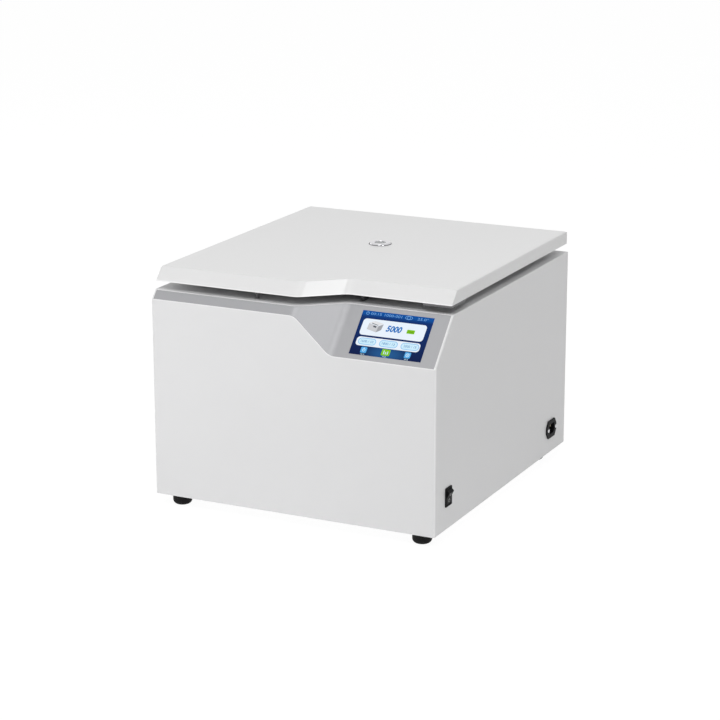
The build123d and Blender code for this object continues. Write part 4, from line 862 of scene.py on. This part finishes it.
rearPlaces = [(side * screwPlaces["rearX"], layout["backY"], z)
              for side in bothSides for z in screwPlaces["rearZ"]]
rearPlaces += [(fanX + sx * fanPitch, fanY + screwPlaces["fanFlange"], fanZ + sz * fanPitch)
               for sx in bothSides for sz in bothSides]
lidPlaces = [(side * screwPlaces["lidX"], y, lidZ)
             for side in bothSides for y in screwPlaces["lidY"]]
backX, backY = screwPlaces["lidBack"]
lidPlaces += [(side * backX, backY, lidZ) for side in bothSides]
hingeX, hingeY = screwPlaces["hinge"]
lidPlaces += [(side * hingeX + step, hingeY, lidZ - screwPlaces["hingeLeaf"])
              for side in bothSides for step in screwPlaces["hingeSteps"]]
inletPlaces = [(inletX, inletY + side * screwPlaces["inletPitch"], inletZ) for side in bothSides]

sheetHead = {"radius": 0.0034, "height": 0.0018, "shankRadius": 0.0016}
inletHead = {"radius": 0.0026, "height": 0.0018, "shankRadius": 0.0016, "shankLength": 0.008}
addScrews("rear_cross_screws", "rear_screws", "cabinet", {**sheetHead, "shankLength": 0.003},
          rearPlaces, outward=(0, 1, 0), first=(1, 0, 0))
addScrews("lid_cross_screws", "lid_screws", "lid", {**sheetHead, "shankLength": 0.006},
          lidPlaces, outward=(0, 0, -1), first=(1, 0, 0))
addScrews("inlet_cross_screws", "inlet_screws", "cabinet", inletHead,
          inletPlaces, outward=(1, 0, 0), first=(0, 1, 0))
print("cross-recess screws:", len(rearPlaces) + len(lidPlaces) + len(inletPlaces))


# the fan's wire guard: rings, two crossed arms, and an eye round each screw
guardSettings = {
    "rings": 5,
    "step": 0.0089,
    "wire": 0.0008,
    "eye": 0.0037,
    "eyePoints": 40,
    "ringOut": 0.0008,  # how far off the fan's flange each kind stands
    "armOut": 0.0012,
    "eyeOut": 0.0009,
}


def onGuard(shape, kind, across=0.0, up=0.0, outward=(0, 1, 0), along=(1, 0, 0)):
    # a piece of wire moved to its place before the fan
    out = guardSettings[kind + "Out"]
    return placed(shape, (fanX + across, fanY + out, fanZ + up), outward, along)


wire = guardSettings["wire"]
ringRadii = guardSettings["step"] * np.arange(1, guardSettings["rings"] + 1)
guardArm = rodShape(2 * (math.hypot(fanPitch, fanPitch) - guardSettings["eye"]), wire)
guardEye = ringShape(guardSettings["eye"], wire, guardSettings["eyePoints"])
guardParts = [onGuard(ringShape(radius, wire), "ring") for radius in ringRadii]
for lean in (1, -1):
    slanted = np.array([1, 0, lean]) / math.sqrt(2)
    guardParts.append(onGuard(guardArm, "arm", outward=slanted, along=(0, 1, 0)))
guardParts += [onGuard(guardEye, "eye", sx * fanPitch, sz * fanPitch)
               for sx in bothSides for sz in bothSides]
guard = addPiece("fan_guard_wires", guardParts, finishes["screw_steel"], "cabinet",
                 sharp=60)
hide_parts("fan_guard")
print("fan guard wires")


# dark sealing cord under the port's chrome ring
sealSettings = {"wire": 0.0007, "outside": 0.0002, "lift": 0.0001}
portLow, portHigh = (np.array(corner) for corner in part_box("port_ring"))
sealX, sealY = (portLow[:2] + portHigh[:2]) / 2
sealRadius = (portHigh[0] - portLow[0]) / 2 + sealSettings["outside"]
seal = placed(ringShape(sealRadius, sealSettings["wire"]),
              (sealX, sealY, layout["lidTop"] + sealSettings["lift"]), (0, 0, 1), (1, 0, 0))
addPiece("port_seal", [seal], finishes["seal_rubber"], "lid", sharp=60)


# figures 1 and 0 printed on the switch's two faces
rockerSettings = {
    "tilt": math.radians(12),
    "valley": 0.00538,  # where the two faces meet, ahead of the pivot
    "tip": (0.00739, 0.00842),  # each face's outer end, ahead and along
    "rise": 0.00005,
    "bar": (0.0009, 0.0042),
    "hoop": (0.0021, 0.00042),  # radius and width
    "hoopPoints": (40, 8),
}
ahead = np.array([math.cos(rockerSettings["tilt"]), 0, -math.sin(rockerSettings["tilt"])])
along = np.array([math.sin(rockerSettings["tilt"]), 0, math.cos(rockerSettings["tilt"])])
rise = rockerSettings["rise"]
barCorners = np.array([(-1, -1), (1, -1), (1, 1), (-1, 1)]) * (np.array(rockerSettings["bar"]) / 2)
hoopRadius, hoopWidth = rockerSettings["hoop"]
hoopPoints, hoopFaces = ringShape(hoopRadius, hoopWidth / 2, *rockerSettings["hoopPoints"])
one = prism(barCorners, -rise, rise)
zero = (hoopPoints * (1, 1, 2 * rise / hoopWidth), hoopFaces)
marks = []
for side, figure in ((1, one), (-1, zero)):
    valley = rockerSettings["valley"] * ahead
    tip = rockerSettings["tip"][0] * ahead + side * rockerSettings["tip"][1] * along
    up = side * (tip - valley) / np.linalg.norm(tip - valley)
    middle = np.array(layout["switch"]) + (valley + tip) / 2
    marks.append(placed(figure, middle, np.cross((0, 1, 0), up), (0, 1, 0)))
markGrey = mouldedPlastic("markGrey", (0.55, 0.55, 0.55))
addPiece("switch_marks", marks, markGrey, "rocker")
print("port seal and switch marks")


# fitted to the photograph's edges; angles in degrees, sensor and lens in millimetres
cameraSettings = {
    "position": (1.38127, -2.85334, 1.05777),
    "azimuth": 26.0049,
    "elevation": 15.5260,
    "roll": -0.0434,
    "sensor": 36.0,
    "lens": 115.452,
}


def direction(azimuth, elevation):
    # unit vector from the object towards a camera or lamp at these angles
    a, e = math.radians(azimuth), math.radians(elevation)
    return Vector((math.sin(a) * math.cos(e), -math.cos(a) * math.cos(e), math.sin(e)))


camera = bpy.data.objects.new("camera", bpy.data.cameras.new("camera"))
scene.collection.objects.link(camera)
scene.camera = camera
roll = Quaternion((0, 0, 1), math.radians(cameraSettings["roll"]))
back = direction(cameraSettings["azimuth"], cameraSettings["elevation"])
camera.rotation_mode = "QUATERNION"
camera.rotation_quaternion = (-back).to_track_quat("-Z", "Y") @ roll
camera.location = cameraSettings["position"]
camera.data.sensor_width = cameraSettings["sensor"]
camera.data.lens = cameraSettings["lens"]

# at a level of 1 a lamp alone shows a colour as it is written
lampAim = Vector((0, 0, 0.18))
lampSettings = {
    "key": {"azimuth": 3, "elevation": 48, "distance": 4.0, "size": 0.9, "level": 0.324},
    "rightFill": {"azimuth": 62, "elevation": 52, "distance": 3.0, "size": 0.45, "level": 0.146},
    "topFill": {"azimuth": 0, "elevation": 80, "distance": 3.0, "size": 1.0, "level": 0.07},
    "leftRear": {"azimuth": 256, "elevation": 20, "distance": 3.0, "size": 1.0, "level": 0.10},
    "lowFill": {"azimuth": -26, "elevation": -9, "distance": 0.9, "size": 0.5, "level": 0.10},
}
for name, lamp in lampSettings.items():
    data = bpy.data.lights.new(name, "AREA")
    data.size = lamp["size"]
    data.energy = lamp["level"] * math.pi**2 * lamp["distance"] ** 2
    made = bpy.data.objects.new(name, data)
    scene.collection.objects.link(made)
    towards = direction(lamp["azimuth"], lamp["elevation"])
    made.location = lampAim + towards * lamp["distance"]
    made.rotation_mode = "QUATERNION"
    made.rotation_quaternion = towards.to_track_quat("Z", "Y")
    made.visible_camera = False


def shownRays(f):
    # 1 where the camera, a reflection or a clear sheet looks, 0 for light on its way to the object
    rays = f.node("LightPath").socket.node.outputs
    kinds = ("Is Camera Ray", "Is Glossy Ray", "Is Transmission Ray")
    looked, mirrored, through = (Wire(f, rays[kind]) for kind in kinds)
    return (looked + mirrored + through).clamp()


# white all round as far as it shows, dimmer as light on the object
ambientLevel = 0.38
f = Finish("studio", bpy.data.worlds)
strength = ambientLevel + shownRays(f) * (1.0 - ambientLevel)
f.end(f.node("Background", {}, {"Color": (1, 1, 1, 1), "Strength": strength}), "OutputWorld")
scene.world = f.owner

floorSettings = {
    "half": 6.0,
    "glow": 0.95,  # white of its own where it shows
    "catch": 0.10,  # and how strongly the object's shadow shows on it
    "bounce": 0.94,  # its colour for light on its way to the object
}
reach = floorSettings["half"]
floorCorners = [(-reach, -reach, 0), (reach, -reach, 0), (reach, reach, 0), (-reach, reach, 0)]
floorMesh = bpy.data.meshes.new("floor")
floorMesh.from_pydata(floorCorners, [], [(0, 1, 2, 3)])
floor = bpy.data.objects.new("floor", floorMesh)
scene.collection.objects.link(floor)
f = Finish("studioFloor")
plain = f.node("BsdfDiffuse", {}, {"Color": (floorSettings["bounce"],) * 3 + (1,)})
catcher = f.node("BsdfDiffuse", {}, {"Color": (floorSettings["catch"],) * 3 + (1,)})
glow = f.node("Emission", {}, {"Color": (1, 1, 1, 1), "Strength": floorSettings["glow"]})
shown = f.node("AddShader", {}, {0: catcher, 1: glow})
f.end(f.node("MixShader", {}, {0: shownRays(f), 1: plain, 2: shown}))
floorMesh.materials.append(f.owner)
scene.view_settings.view_transform = "Standard"
print("camera, lamps and floor")
